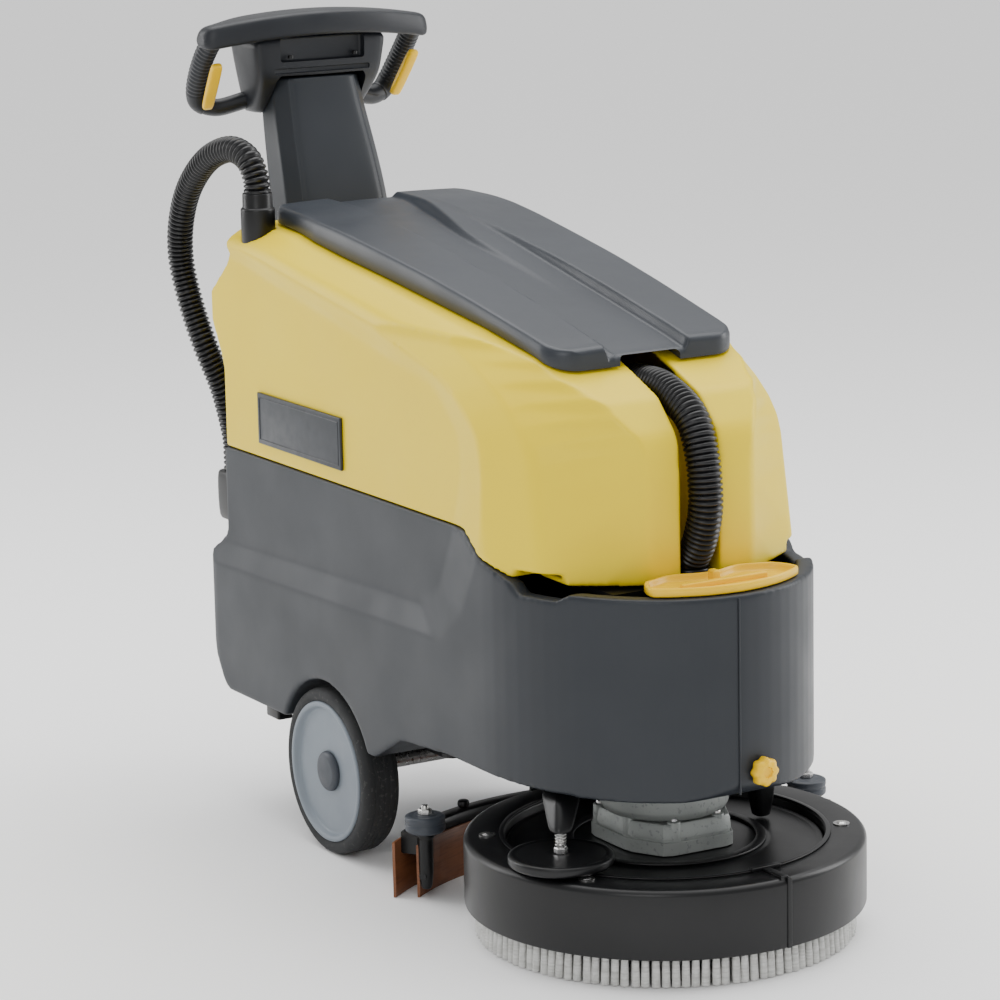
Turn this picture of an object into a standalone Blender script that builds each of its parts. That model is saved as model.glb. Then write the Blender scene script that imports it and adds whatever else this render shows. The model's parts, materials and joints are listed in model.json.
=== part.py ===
"""A walk-behind floor scrubber with one round brush, as an assembly of separate pieces. Metres, +Z up.

The machine is drawn in its own axes: x towards the brush, y to its left, z up, with the brush axis at
x = y = 0 and the floor at z = 0. The empty "machine" carries it all to where it is centred on the floor.
"""

import math

import bmesh
import bpy
from mathutils import Matrix, Vector

# Driving dimensions
BRUSH_R = 0.225
DECK_R = 0.237
DECK_TOP = 0.118
HALF_WIDTH = 0.200
WALL = 0.007
GAP = 0.0003
MACHINE_AT = (0.3375, -0.0443, 0.0)

# Wheels
WHEEL_R = 0.1063
WHEEL_X = -0.481
WHEEL_OUT = 0.1975
WHEEL_WIDTH = 0.052
RIM_R = 0.0895
AXLE_R = 0.011

# Body
WELL_R = 0.085
GROOVE_HALF = 0.026
COLUMN_CHANNEL_HALF = 0.084
CHANNEL_FRONT = -0.730
LID_HINGE = (-0.6775, 0.0, 0.7890)
LID_END_R = 0.0122
RECESS_DEPTH = 0.013
BADGE_SIZE = (0.222, 0.004, 0.066)
BADGE_AT = (-0.5350, 0.5340)

# Squeegee, drawn straight behind the brush and turned about the brush axis by SWING
SWING = math.radians(-15.6)
SQUEEGEE_R = 0.334
SQUEEGEE_HALF_ANGLE = math.radians(51.0)
BLADE_THICK = 0.0035
NOZZLE_ANGLE = math.radians(9.0)
END_ROLLER_R = 0.0245
END_ROLLER_FROM_AXIS = 0.3085

SIDE_ROLLER_R = 0.061
SIDE_ROLLER_AT = (0.056, -0.177)

HOSE_R = 0.0170
FRONT_HOSE_R = 0.0200

VALVE_AT = (0.1760, 0.018, 0.229)
VALVE_YAW = 0.10
TRIGGER_PIN = (-0.8640, 0.140, 0.906)
TRIGGER_TIP = (-0.8170, 0.146, 0.967)
SIDES = ((-1, "right"), (1, "left"))

PALETTE = {
    "yellow_tank": ((0.80, 0.55, 0.06), 0.42, 0.0),
    "grey_body": ((0.060, 0.066, 0.076), 0.55, 0.0),
    "grey_lid": ((0.065, 0.070, 0.082), 0.40, 0.0),
    "black_plastic": ((0.018, 0.018, 0.020), 0.42, 0.0),
    "grip_plastic": ((0.040, 0.043, 0.050), 0.60, 0.0),
    "yellow_control": ((0.85, 0.52, 0.03), 0.35, 0.0),
    "badge": ((0.050, 0.054, 0.062), 0.35, 0.0),
    "hose": ((0.015, 0.015, 0.016), 0.40, 0.0),
    "tyre_rubber": ((0.060, 0.062, 0.066), 0.75, 0.0),
    "wheel_grey": ((0.36, 0.40, 0.44), 0.45, 0.0),
    "hub_cap": ((0.055, 0.060, 0.070), 0.40, 0.0),
    "cast_metal": ((0.50, 0.53, 0.53), 0.45, 0.9),
    "steel": ((0.60, 0.60, 0.62), 0.30, 1.0),
    "frame_paint": ((0.030, 0.030, 0.032), 0.50, 0.0),
    "bristle": ((0.66, 0.66, 0.64), 0.70, 0.0),
    "blade_rubber": ((0.26, 0.12, 0.07), 0.50, 0.0),
    "battery_case": ((0.03, 0.03, 0.035), 0.50, 0.0),
    "button_green": ((0.05, 0.35, 0.10), 0.40, 0.0),
    "button_blue": ((0.04, 0.12, 0.45), 0.40, 0.0),
}

# Outlines: corners with their own rounding radius, read as (across, up, radius)
LOWER_SIDE = [
    (-0.752, 0.480, 0.006), (-0.752, 0.366, 0.020), (-0.788, 0.338, 0.010), (-0.800, 0.316, 0.020),
    (-0.800, 0.226, 0.018), (-0.782, 0.212, 0.020), (-0.747, 0.157, 0.030), (-0.345, 0.157, 0.012),
    (-0.276, 0.194, 0.030), (-0.155, 0.203, 0.0), (0.175, 0.200, 0.022), (0.180, 0.437, 0.010),
    (0.062, 0.437, 0.004), (0.048, 0.428, 0.006), (-0.006, 0.428, 0.006), (-0.020, 0.440, 0.008),
    (-0.078, 0.457, 0.012), (-0.126, 0.480, 0.012),
]
TANK_SIDE = [
    (-0.747, 0.4805, 0.004), (-0.747, 0.590, 0.060), (-0.784, 0.655, 0.020), (-0.784, 0.675, 0.020),
    (-0.728, 0.722, 0.020), (-0.716, 0.742, 0.020), (-0.712, 0.7755, 0.010), (-0.600, 0.7695, 0.0),
    (-0.500, 0.7530, 0.0), (-0.400, 0.7395, 0.0), (-0.283, 0.7220, 0.0), (-0.170, 0.7050, 0.0),
    (-0.061, 0.6840, 0.0), (-0.015, 0.6670, 0.030), (0.040, 0.6450, 0.040), (0.080, 0.6040, 0.040),
    (0.083, 0.560, 0.040), (0.083, 0.4375, 0.004), (-0.020, 0.4405, 0.008), (-0.078, 0.4575, 0.012),
    (-0.126, 0.4805, 0.012),
]
TANK_TOP_LINE = [(-0.90, 0.7765), (-0.66, 0.7755), (-0.600, 0.7700), (-0.500, 0.7535), (-0.400, 0.7400),
                 (-0.283, 0.7225), (-0.170, 0.7055), (-0.061, 0.6845), (-0.015, 0.6700), (0.30, 0.6000)]
LID_TOP = [(-0.6775, 0.8012), (-0.600, 0.799), (-0.500, 0.787), (-0.400, 0.772), (-0.300, 0.756),
           (-0.200, 0.737), (-0.100, 0.716), (-0.040, 0.703), (-0.018, 0.696)]
LID_REST = [(-0.018, 0.6690), (-0.061, 0.6850), (-0.170, 0.7065), (-0.283, 0.7235), (-0.400, 0.7410),
            (-0.500, 0.7545), (-0.600, 0.7710), (-0.6775, 0.7768)]
RECESS_EDGE = [
    (-0.95, 0.318, 0.0), (-0.180, 0.340, 0.040), (-0.123, 0.381, 0.040), (-0.085, 0.450, 0.060),
    (-0.048, 0.560, 0.050), (-0.052, 0.605, 0.030), (-0.115, 0.668, 0.060), (-0.95, 0.800, 0.0),
]
RECESS_FLOOR = [
    (-0.95, 0.345, 0.0), (-0.240, 0.371, 0.040), (-0.196, 0.395, 0.040), (-0.163, 0.460, 0.060),
    (-0.136, 0.545, 0.050), (-0.140, 0.590, 0.030), (-0.195, 0.640, 0.060), (-0.95, 0.775, 0.0),
]
COLUMN_STATIONS = ((0.3650, -0.772, 0.036, 0.077), (0.700, -0.772, 0.036, 0.077),
                   (0.790, -0.786, 0.037, 0.076), (0.892, -0.822, 0.033, 0.068),
                   (0.945, -0.835, 0.030, 0.064))
FRONT_HOSE_ROUTE = [
    (-0.056, 0.0, 0.647), (-0.001, 0.0, 0.648), (0.045, 0.0, 0.634), (0.071, 0.0, 0.616), (0.085, 0.0, 0.587),
    (0.092, 0.0, 0.556), (0.093, 0.0, 0.519), (0.082, 0.0, 0.484), (0.068, 0.0, 0.462),
    (0.0620, 0.0, 0.4560), (0.0615, 0.0, 0.4500),
]
DRAIN_HOSE_ROUTE = [
    (-0.668, -0.170, 0.8100), (-0.668, -0.171, 0.835), (-0.682, -0.175, 0.860), (-0.718, -0.181, 0.869),
    (-0.770, -0.187, 0.852), (-0.826, -0.187, 0.812), (-0.860, -0.185, 0.764), (-0.874, -0.181, 0.712),
    (-0.864, -0.175, 0.657), (-0.844, -0.166, 0.600), (-0.831, -0.148, 0.540), (-0.830, -0.134, 0.480),
    (-0.830, -0.132, 0.450), (-0.830, -0.132, 0.4303),
]

for old in list(bpy.data.objects):
    bpy.data.objects.remove(old)

parts = bpy.data.collections.new("floor_scrubber")
cutters = bpy.data.collections.new("cutters")
cutters.hide_render = True
for collection in (parts, cutters):
    bpy.context.scene.collection.children.link(collection)

materials = {}
for slot, (colour, roughness, metallic) in PALETTE.items():
    material = bpy.data.materials.new(slot)
    material.use_nodes = True
    shader = material.node_tree.nodes["Principled BSDF"]
    shader.inputs["Base Color"].default_value = (*colour, 1.0)
    shader.inputs["Roughness"].default_value = roughness
    shader.inputs["Metallic"].default_value = metallic
    materials[slot] = material


# ---- helpers -----------------------------------------------------------------------------------------------

def empty(name, at=(0, 0, 0), parent=None):
    """An empty at a point given in the machine's axes."""
    holder = bpy.data.objects.new(name, None)
    holder.empty_display_size = 0.03
    holder.parent = parent
    holder.location = Vector(at)
    if parent is not None and parent is not machine:
        holder.location -= parent.location
    parts.objects.link(holder)
    return holder


def add(name, mesh, slot=None, parent=None, at=(0, 0, 0), turn=None):
    """A part, or a cutter when it has no slot. Its mesh is counted from the point at."""
    obj = bpy.data.objects.new(name, mesh)
    obj.parent = parent or machine
    obj.location = Vector(at)
    if obj.parent is not machine:
        obj.location -= obj.parent.location
    if turn is not None:
        obj.rotation_euler = turn
    if slot is None:
        cutters.objects.link(obj)
        obj.hide_render = True
        obj.display_type = "WIRE"
    else:
        parts.objects.link(obj)
        mesh.materials.append(materials[slot])
        mesh.shade_smooth()
        mesh.set_sharp_from_angle(angle=math.radians(35))
    return obj


def clean(name, mesh):
    """The same mesh, welded and with its faces pointing out."""
    bm = bmesh.new()
    bm.from_mesh(mesh)
    bmesh.ops.remove_doubles(bm, verts=bm.verts, dist=0.00002)
    bmesh.ops.dissolve_degenerate(bm, edges=bm.edges, dist=0.00001)
    bmesh.ops.recalc_face_normals(bm, faces=bm.faces)
    out = bpy.data.meshes.new(name)
    bm.to_mesh(out)
    bm.free()
    return out


def evaluated(name, data, modifiers=()):
    """The finished mesh of a curve or of a mesh with modifiers, given as (type, settings)."""
    holder = bpy.data.objects.new(name + "_draft", data)
    bpy.context.scene.collection.objects.link(holder)
    for kind, settings in modifiers:
        modifier = holder.modifiers.new(kind.title(), kind)
        for key, value in settings.items():
            setattr(modifier, key, value)
    graph = bpy.context.evaluated_depsgraph_get()
    mesh = bpy.data.meshes.new_from_object(holder.evaluated_get(graph))
    bpy.data.objects.remove(holder)
    return clean(name, mesh)


def rounded(corners, steps=3):
    """An outline's points, with each corner (x, y, radius) as an arc."""
    points = []
    for i, (x, y, radius) in enumerate(corners):
        here = Vector((x, y))
        back = (Vector(corners[i - 1][:2]) - here)
        on = (Vector(corners[(i + 1) % len(corners)][:2]) - here)
        half = back.angle(on) / 2
        if radius == 0 or half > math.radians(89.5):
            points.append(here)
            continue
        cut = min(radius / math.tan(half), 0.49 * back.length, 0.49 * on.length)
        radius = cut * math.tan(half)
        centre = here + (back.normalized() + on.normalized()).normalized() * (radius / math.sin(half))
        first, last = here + back.normalized() * cut - centre, here + on.normalized() * cut - centre
        sweep = first.angle_signed(last)
        for step in range(steps + 1):
            points.append(centre + Matrix.Rotation(-sweep * step / steps, 2) @ first)
    return points


def inset(corners, distance):
    """The corners (x, y, radius) of an outline moved inwards by a wall's thickness."""
    points = [Vector(corner[:2]) for corner in corners]
    area = sum(a.cross(b) for a, b in zip(points, points[1:] + points[:1]))
    side = distance if area > 0 else -distance
    moved = []
    for i, here in enumerate(points):
        back = (here - points[i - 1]).normalized()
        on = (points[(i + 1) % len(points)] - here).normalized()
        normal = Vector((-back.y - on.y, back.x + on.x)).normalized()
        reach = max(normal.dot(Vector((-on.y, on.x))), 0.5)
        moved.append((*(here + normal * side / reach), max(corners[i][2] - distance, 0)))
    return moved


def slab(name, points, low, high, plane="XY"):
    """A flat outline given a thickness from low to high, across the plane it is drawn in."""
    data = bpy.data.curves.new(name, "CURVE")
    data.dimensions = "2D"
    data.fill_mode = "BOTH"
    data.extrude = (high - low) / 2
    spline = data.splines.new("POLY")
    spline.points.add(len(points) - 1)
    for target, point in zip(spline.points, points):
        target.co = (point[0], point[1], 0, 1)
    spline.use_cyclic_u = True
    mesh = evaluated(name, data)
    middle = (low + high) / 2
    if plane == "XY":
        mesh.transform(Matrix.Translation((0, 0, middle)))
    elif plane == "XZ":
        mesh.transform(Matrix.Translation((0, middle, 0)) @ Matrix.Rotation(math.pi / 2, 4, "X"))
    else:
        turn = Matrix(((0, 0, 1, 0), (1, 0, 0, 0), (0, 1, 0, 0), (0, 0, 0, 1)))
        mesh.transform(Matrix.Translation((middle, 0, 0)) @ turn)
    return mesh


def turned(name, profile, steps=48, axis="Z", at=(0, 0, 0)):
    """A profile of (radius, height) points turned about an axis through at, or a closed ring off the axis."""
    solid = profile[0][0] == 0
    bm = bmesh.new()
    verts = [bm.verts.new((radius, 0, height)) for radius, height in profile]
    for first, second in zip(verts, verts[1:]):
        bm.edges.new((first, second))
    if not solid:
        bm.edges.new((verts[-1], verts[0]))
    data = bpy.data.meshes.new(name)
    bm.to_mesh(data)
    bm.free()
    spin = {"axis": "Z", "steps": steps, "render_steps": steps, "use_merge_vertices": True,
            "merge_threshold": 0.00005}
    mesh = evaluated(name, data, [("SCREW", spin)])
    if axis == "Y":
        mesh.transform(Matrix.Rotation(-math.pi / 2, 4, "X"))
    if axis == "X":
        mesh.transform(Matrix.Rotation(math.pi / 2, 4, "Y"))
    mesh.transform(Matrix.Translation(at))
    return mesh


def cylinder(name, radius, low, high, at=(0, 0), steps=32, axis="Z"):
    """A plain cylinder from low to high along its axis, with its centre at the other two coordinates."""
    places = {"Z": (at[0], at[1], 0), "Y": (at[0], 0, at[1]), "X": (0, at[0], at[1])}
    return turned(name, [(0, high), (radius, high), (radius, low), (0, low)], steps, axis, places[axis])


def box(name, low, high, bevel=0.0, segments=2):
    low, high = Vector(low), Vector(high)
    bm = bmesh.new()
    bmesh.ops.create_cube(bm, size=1.0)
    bmesh.ops.scale(bm, vec=high - low, verts=bm.verts)
    bmesh.ops.translate(bm, vec=(low + high) / 2, verts=bm.verts)
    if bevel:
        bmesh.ops.bevel(bm, geom=bm.edges, offset=bevel, segments=segments, profile=0.5, affect="EDGES")
    mesh = bpy.data.meshes.new(name)
    bm.to_mesh(mesh)
    bm.free()
    return mesh


def smooth_route(points, spacing):
    """Evenly spaced points on a smooth curve through the given ones."""
    knots = [Vector(p) for p in points]
    knots = [2 * knots[0] - knots[1], *knots, 2 * knots[-1] - knots[-2]]
    dense = []
    for a, b, c, d in zip(knots, knots[1:], knots[2:], knots[3:]):
        for step in range(20):
            t = step / 20
            dense.append(0.5 * ((2 * b) + (c - a) * t + (2 * a - 5 * b + 4 * c - d) * t * t
                                + (3 * b - a - 3 * c + d) * t ** 3))
    dense.append(knots[-2])
    lengths = [0.0]
    for first, second in zip(dense, dense[1:]):
        lengths.append(lengths[-1] + (second - first).length)
    count = round(lengths[-1] / spacing)
    out, i = [], 0
    for n in range(count + 1):
        target = lengths[-1] * n / count
        while i < len(dense) - 2 and lengths[i + 1] < target:
            i += 1
        share = (target - lengths[i]) / (lengths[i + 1] - lengths[i])
        out.append(dense[i].lerp(dense[i + 1], share))
    return out


def tube(name, points, radius, resolution=2):
    """A round bar or hose along points, closed at both ends."""
    data = bpy.data.curves.new(name, "CURVE")
    data.dimensions = "3D"
    data.bevel_depth = radius
    data.bevel_resolution = resolution
    data.use_fill_caps = True
    spline = data.splines.new("POLY")
    spline.points.add(len(points) - 1)
    for target, point in zip(spline.points, points):
        target.co = (*point, 1)
    return evaluated(name, data)


def loft(name, sections):
    """A skin over sections of equal point counts, closed at both ends."""
    bm = bmesh.new()
    rings = [[bm.verts.new(point) for point in section] for section in sections]
    for lower, upper in zip(rings, rings[1:]):
        for i in range(len(lower)):
            j = (i + 1) % len(lower)
            bm.faces.new((lower[i], lower[j], upper[j], upper[i]))
    bm.faces.new(rings[0])
    bm.faces.new(rings[-1])
    bmesh.ops.triangulate(bm, faces=bm.faces)
    mesh = bpy.data.meshes.new(name)
    bmesh.ops.recalc_face_normals(bm, faces=bm.faces)
    bm.to_mesh(mesh)
    bm.free()
    return mesh


def boolean(obj, operation, *others):
    for other in others:
        modifier = obj.modifiers.new(other.name, "BOOLEAN")
        modifier.operation = operation
        modifier.object = other


def arc(radius, start, end, steps):
    return [Vector((radius * math.cos(a), radius * math.sin(a)))
            for a in (start + (end - start) * i / steps for i in range(steps + 1))]


def arc_band(inner, outer, half_angle, steps=14):
    """The outline of a band behind the brush axis, between two radii."""
    start, end = math.pi - half_angle, math.pi + half_angle
    return arc(outer, start, end, steps) + arc(inner, end, start, steps)


def rounded_box_ring(centre, half_x, half_y, corner, z, steps=3):
    """The points of a level rounded rectangle."""
    cx, cy = centre
    corners = [(cx - half_x, cy - half_y, corner), (cx + half_x, cy - half_y, corner),
               (cx + half_x, cy + half_y, corner), (cx - half_x, cy + half_y, corner)]
    return [(p.x, p.y, z) for p in rounded(corners, steps)]


def plan_lower():
    """The lower body from above: straight sides, rounded rear corners and a half-ellipse nose."""
    nose_x, reach = -0.070, 0.245
    nose = [(nose_x + reach * math.cos(a), HALF_WIDTH * math.sin(a), 0)
            for a in (math.pi / 2 - math.pi * i / 36 for i in range(37))]
    return nose + [(-0.800, -HALF_WIDTH, 0.035), (-0.800, HALF_WIDTH, 0.035)]


def plan_tank(back):
    """The recovery tank from above. Its angled front corners lie further back the higher the level is."""
    right = [(-0.784, -HALF_WIDTH, 0.035), (-0.055 - 1.3 * back, -HALF_WIDTH, 0.080),
             (0.030 - back, -0.172, 0.050), (0.0830, -0.072, 0.025)]
    return right + [(x, -y, radius) for x, y, radius in reversed(right)]


def tank_corners(name, wall):
    """The recovery tank's outline from above through its levels. The corners pull back faster near the top."""
    sections = []
    for z in (0.40, 0.48, 0.54, 0.575, 0.595, 0.615, 0.635, 0.655, 0.675, 0.690, 0.90):
        level = min(z, 0.690)
        back = 0.197 * (level - 0.42) + 0.155 * (max(level - 0.575, 0.0) / 0.115) ** 2
        sections.append([(p.x, p.y, z) for p in rounded(inset(plan_tank(back), wall), 5)])
    return loft(name, sections)


# ---- body --------------------------------------------------------------------------------------------------

def side_recess(side):
    """The shallow sunk area on the rear upper flanks, shared by both tanks. Its edge slopes to its floor."""
    edge, floor = rounded(RECESS_EDGE, 5), rounded(RECESS_FLOOR, 5)
    sections = []
    for share in (0.0, 1.0, 3.0):
        y = side * (HALF_WIDTH - RECESS_DEPTH + RECESS_DEPTH * share)
        sections.append([(p.x, y, p.y) for p in (low.lerp(high, share) for low, high in zip(floor, edge))])
    return add(f"recess_cutter_{'left' if side > 0 else 'right'}", loft("recess", sections))


def lower_tank():
    body = add("lower_tank", slab("lower_tank", rounded(LOWER_SIDE, 5), -HALF_WIDTH, HALF_WIDTH, "XZ"),
               "grey_body")
    plan = plan_lower()
    boolean(body, "INTERSECT", add("lower_plan", slab("lower_plan", rounded(plan, 6), 0.10, 0.60)))

    battery_well = add("battery_well_cutter",
                       box("battery_well", (-0.655, -0.127, 0.182), (-0.235, 0.127, 0.55)))
    front = [corner[:2] for corner in inset(plan, 3 * WALL) if corner[0] > -0.205]
    rear_wall = [(-0.205, front[-1][1]), (-0.205, front[0][1])]
    water = add("solution_cutter", slab("solution", front + rear_wall, 0.214, 0.55))
    boolean(water, "DIFFERENCE", add("well_island", cylinder("well_island", WELL_R + WALL, 0.20, 0.358)))
    well = add("motor_well_cutter", cylinder("motor_well", WELL_R, 0.10, 0.350))
    notch = add("column_notch", box("column_notch", (-0.9, -COLUMN_CHANNEL_HALF, 0.3640),
                                    (CHANNEL_FRONT, COLUMN_CHANNEL_HALF, 0.6)))
    boolean(body, "DIFFERENCE", battery_well, water, well, notch, *recesses)
    for side, word in SIDES:
        low, high = sorted((side * 0.136, side * 0.25))
        arch = cylinder("arch", 0.120, low, high, (WHEEL_X + 0.010, WHEEL_R), 40, "Y")
        boolean(body, "DIFFERENCE", add(f"wheel_arch_{word}", arch))
    bore = turned("valve_bore", [(0, 0.05), (0.0060, 0.05), (0.0060, -0.040), (0, -0.040)], 16, "X")
    boolean(body, "DIFFERENCE", add("valve_bore_cutter", bore, at=VALVE_AT, turn=(0, 0, VALVE_YAW)))


def tank_shoulder(name, wall):
    """A long block with rounded shoulders along the tank's top line, to round the tank's upper edges."""
    sections = []
    for x, top in TANK_TOP_LINE:
        section = [(-0.215, 0.20, 0), (0.215, 0.20, 0), (0.199, top - 0.022, 0.030), (0.158, top, 0.030),
                   (-0.158, top, 0.030), (-0.199, top - 0.022, 0.030)]
        sections.append([(x, p.x, p.y) for p in rounded(inset(section, wall), 5)])
    return add(name, loft(name, sections))


def recovery_tank():
    tank = add("recovery_tank", slab("recovery_tank", rounded(TANK_SIDE, 6), -HALF_WIDTH, HALF_WIDTH, "XZ"),
               "yellow_tank")
    boolean(tank, "INTERSECT", add("tank_plan", tank_corners("tank_plan", 0.0)),
            tank_shoulder("tank_shoulder", 0.0))
    room = add("tank_room", slab("tank_room", rounded(inset(TANK_SIDE, WALL), 2), -HALF_WIDTH + 0.021,
                                 HALF_WIDTH - 0.021, "XZ"))
    boolean(room, "INTERSECT", add("room_plan", tank_corners("room_plan", 1.5 * WALL)),
            tank_shoulder("room_shoulder", WALL))
    low, high = GROOVE_HALF + WALL, COLUMN_CHANNEL_HALF + WALL
    groove_island = box("groove_island", (-0.008, -low, 0.3), (0.2, low, 0.9))
    channel_island = box("channel_island", (-0.9, -high, 0.3), (CHANNEL_FRONT + WALL, high, 0.9))
    boolean(room, "DIFFERENCE", add("groove_island", groove_island), add("channel_island", channel_island))
    groove = add("groove_cutter", box("groove", (0.0, -GROOVE_HALF, 0.3), (0.2, GROOVE_HALF, 0.9)))
    channel = add("channel_cutter", box("channel", (-0.9, -COLUMN_CHANNEL_HALF, 0.3),
                                        (CHANNEL_FRONT, COLUMN_CHANNEL_HALF, 0.9)))
    mouth = add("mouth_cutter", box("mouth", (-0.610, -0.118, 0.60), (-0.090, 0.118, 0.9)))
    inlet = add("inlet_cutter", box("inlet", (-0.0585, -GROOVE_HALF, 0.6240), (0.02, GROOVE_HALF, 0.9)))
    notches = []
    for side, word in SIDES:
        low_corner, high_corner = sorted_box((-0.0235, side * 0.151, 0.40), (0.0510, side * 0.25, 0.4515))
        notches.append(add(f"hand_notch_{word}", box("notch", low_corner, high_corner)))
    boolean(tank, "DIFFERENCE", room, groove, channel, mouth, inlet, *recesses, *notches)


def sorted_box(first, second):
    return [tuple(map(pick, first, second)) for pick in (min, max)]


def lid():
    """The lid: two long lobes that narrow towards the nose, with a sunk channel between them."""
    pin_at = Vector((LID_HINGE[0], LID_HINGE[2]))
    rear_end = [pin_at + point for point in arc(LID_END_R, math.radians(255), math.radians(105), 5)]
    outline = [Vector(p) for p in LID_TOP + LID_REST] + rear_end
    cover = add("lid", slab("lid", outline, -0.15, 0.15, "XZ"), "grey_lid", lid_hinge)
    right = [(-0.690, -0.140, 0.030), (-0.560, -0.148, 0.0), (-0.060, -0.129, 0.040), (-0.018, -0.100, 0.020)]
    plan = rounded(right + [(x, -y, radius) for x, y, radius in reversed(right)], 4)
    boolean(cover, "INTERSECT", add("lid_plan", slab("lid_plan", plan, 0.5, 0.9), parent=lid_hinge))
    hollow = [Vector((x, z + 0.004)) for x, z in reversed(LID_REST[1:-1])]
    hollow += [Vector((x, z - 0.05)) for x, z in LID_REST[1:-1]]
    room = add("lid_room", slab("lid_room", hollow, -0.110, 0.110, "XZ"), parent=lid_hinge)
    sunk = 0.005
    floor_line = [Vector((x, z - sunk)) for x, z in LID_TOP]
    floor_line[0].x, floor_line[-1].x = -0.655, 0.05
    roof = [Vector((p.x, 0.9)) for p in reversed(floor_line)]
    channel = add("lid_channel", slab("lid_channel", floor_line + roof, -0.044, 0.044, "XZ"),
                  parent=lid_hinge)
    throat = add("lid_throat", box("lid_throat", (-0.062, -0.040, 0.60), (0.05, 0.040, 0.6840)),
                 parent=lid_hinge)
    boolean(cover, "DIFFERENCE", room, channel, throat)
    pin_bore = cylinder("pin_bore", 0.0043, -0.2, 0.2, pin_at, 16, "Y")
    boolean(cover, "DIFFERENCE", add("pin_bore_cutter", pin_bore, parent=lid_hinge))


def lid_pin():
    pin = cylinder("lid_hinge_pin", 0.004, -0.120, 0.120, (LID_HINGE[0], LID_HINGE[2]), 16, "Y")
    add("lid_hinge_pin", pin, "steel")


def label_plates():
    """A plain raised plate on each flank of the recovery tank."""
    length, thick, height = BADGE_SIZE
    x, z = BADGE_AT
    face = HALF_WIDTH - RECESS_DEPTH + GAP
    for side, word in SIDES:
        outline = rounded([(x - length / 2, z - height / 2, 0.006), (x + length / 2, z - height / 2, 0.006),
                           (x + length / 2, z + height / 2, 0.006), (x - length / 2, z + height / 2, 0.006)])
        low, high = sorted((side * face, side * (face + thick)))
        add(f"badge_plate_{word}", slab("badge", outline, low, high, "XZ"), "badge")


def hoses():
    front = smooth_route(FRONT_HOSE_ROUTE, 0.018)
    add("front_hose", tube("front_hose", front, FRONT_HOSE_R), "hose")
    plate = add("neck_plate", box("neck_plate", (0.002, -0.120, 0.4285), (0.085, 0.120, 0.4345)),
                "black_plastic")
    collar = turned("hose_collar", [(0, 0.4400), (0.0218, 0.4400), (0.0218, 0.4300), (0, 0.4300)], 24,
                    at=(0.0615, 0, 0))
    boolean(plate, "UNION", add("hose_collar", collar))
    drain = smooth_route(DRAIN_HOSE_ROUTE, 0.022)
    add("drain_hose", tube("drain_hose", drain, HOSE_R), "hose")
    top = Vector(DRAIN_HOSE_ROUTE[0])
    sleeve = [(0, -GAP), (0.0195, -GAP), (0.0205, -0.006), (0.0205, -0.060), (0, -0.060)]
    cuff = turned("hose_cuff", sleeve, 24)
    place = Matrix.Translation(top) @ (drain[1] - drain[0]).to_track_quat("Z", "Y").to_matrix().to_4x4()
    cuff.transform(place)
    add("hose_cuff", cuff, "black_plastic")
    socket = turned("cuff_socket", [(0, 0.05), (0.0209, 0.05), (0.0209, -0.075), (0, -0.075)], 24)
    socket.transform(place)
    boolean(bpy.data.objects["recovery_tank"], "DIFFERENCE", add("cuff_socket_cutter", socket))
    end = Vector(DRAIN_HOSE_ROUTE[-1])
    holder = add("drain_end_holder", box("drain_end_holder", (end.x - 0.024, end.y - 0.024, 0.362),
                                         (end.x + 0.024, end.y + 0.024, 0.4295), 0.005), "black_plastic")
    boolean(holder, "UNION", add("holder_bracket", box("holder_bracket", (end.x, end.y - 0.012, 0.380),
                                                       (-0.7525, end.y + 0.012, 0.412))))


def filler_cap():
    """The dosing cap on the nose: a crescent dish with an upright finger rib across it."""
    low, floor, rim = 0.4375, 0.441, 0.4480
    inner_x = 0.128
    nose = [corner for corner in plan_lower() if corner[0] > inner_x]
    nose += [(0.086, -0.060, 0.0), (0.086, 0.060, 0.0)]
    outline = [corner[:2] for corner in inset(nose, 0.006)]
    cup = add("filler_cap", slab("filler_cap", outline, low + GAP, rim, "XY"), "yellow_control", cap_axis)
    inner = [corner[:2] for corner in inset(nose, 0.010)]
    dish = add("dish_cutter", slab("dish", inner, floor, rim + 0.05), parent=cap_axis)
    rib = add("rib_island", box("rib_island", (0.10, -0.006, 0.40), (0.160, 0.006, 0.60)), parent=cap_axis)
    boolean(dish, "DIFFERENCE", rib)
    boolean(cup, "DIFFERENCE", dish)


def solution_valve():
    """The star knob on the nose and the stem that it turns."""
    at = Vector(VALVE_AT)
    lobes, points = 8, []
    for i in range(48):
        angle = 2 * math.pi * i / 48
        radius = 0.0162 + 0.0012 * math.cos(lobes * angle)
        points.append((radius * math.cos(angle), radius * math.sin(angle)))
    knob = slab("valve_knob", points, 0.0, 0.013, "YZ")
    hole = turned("knob_hole", [(0, 0.03), (0.0045, 0.03), (0.0045, 0.007), (0, 0.007)], 16, "X")
    turn = (0, 0, VALVE_YAW)
    add("valve_knob", knob, "yellow_control", at=at, turn=turn)
    boolean(bpy.data.objects["valve_knob"], "DIFFERENCE", add("knob_hole_cutter", hole, at=at, turn=turn))
    stem = turned("valve_stem", [(0, -GAP), (0.0055, -GAP), (0.0055, -0.030), (0, -0.030)], 16, "X")
    add("valve_stem", stem, "cast_metal", at=at, turn=turn)


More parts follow.
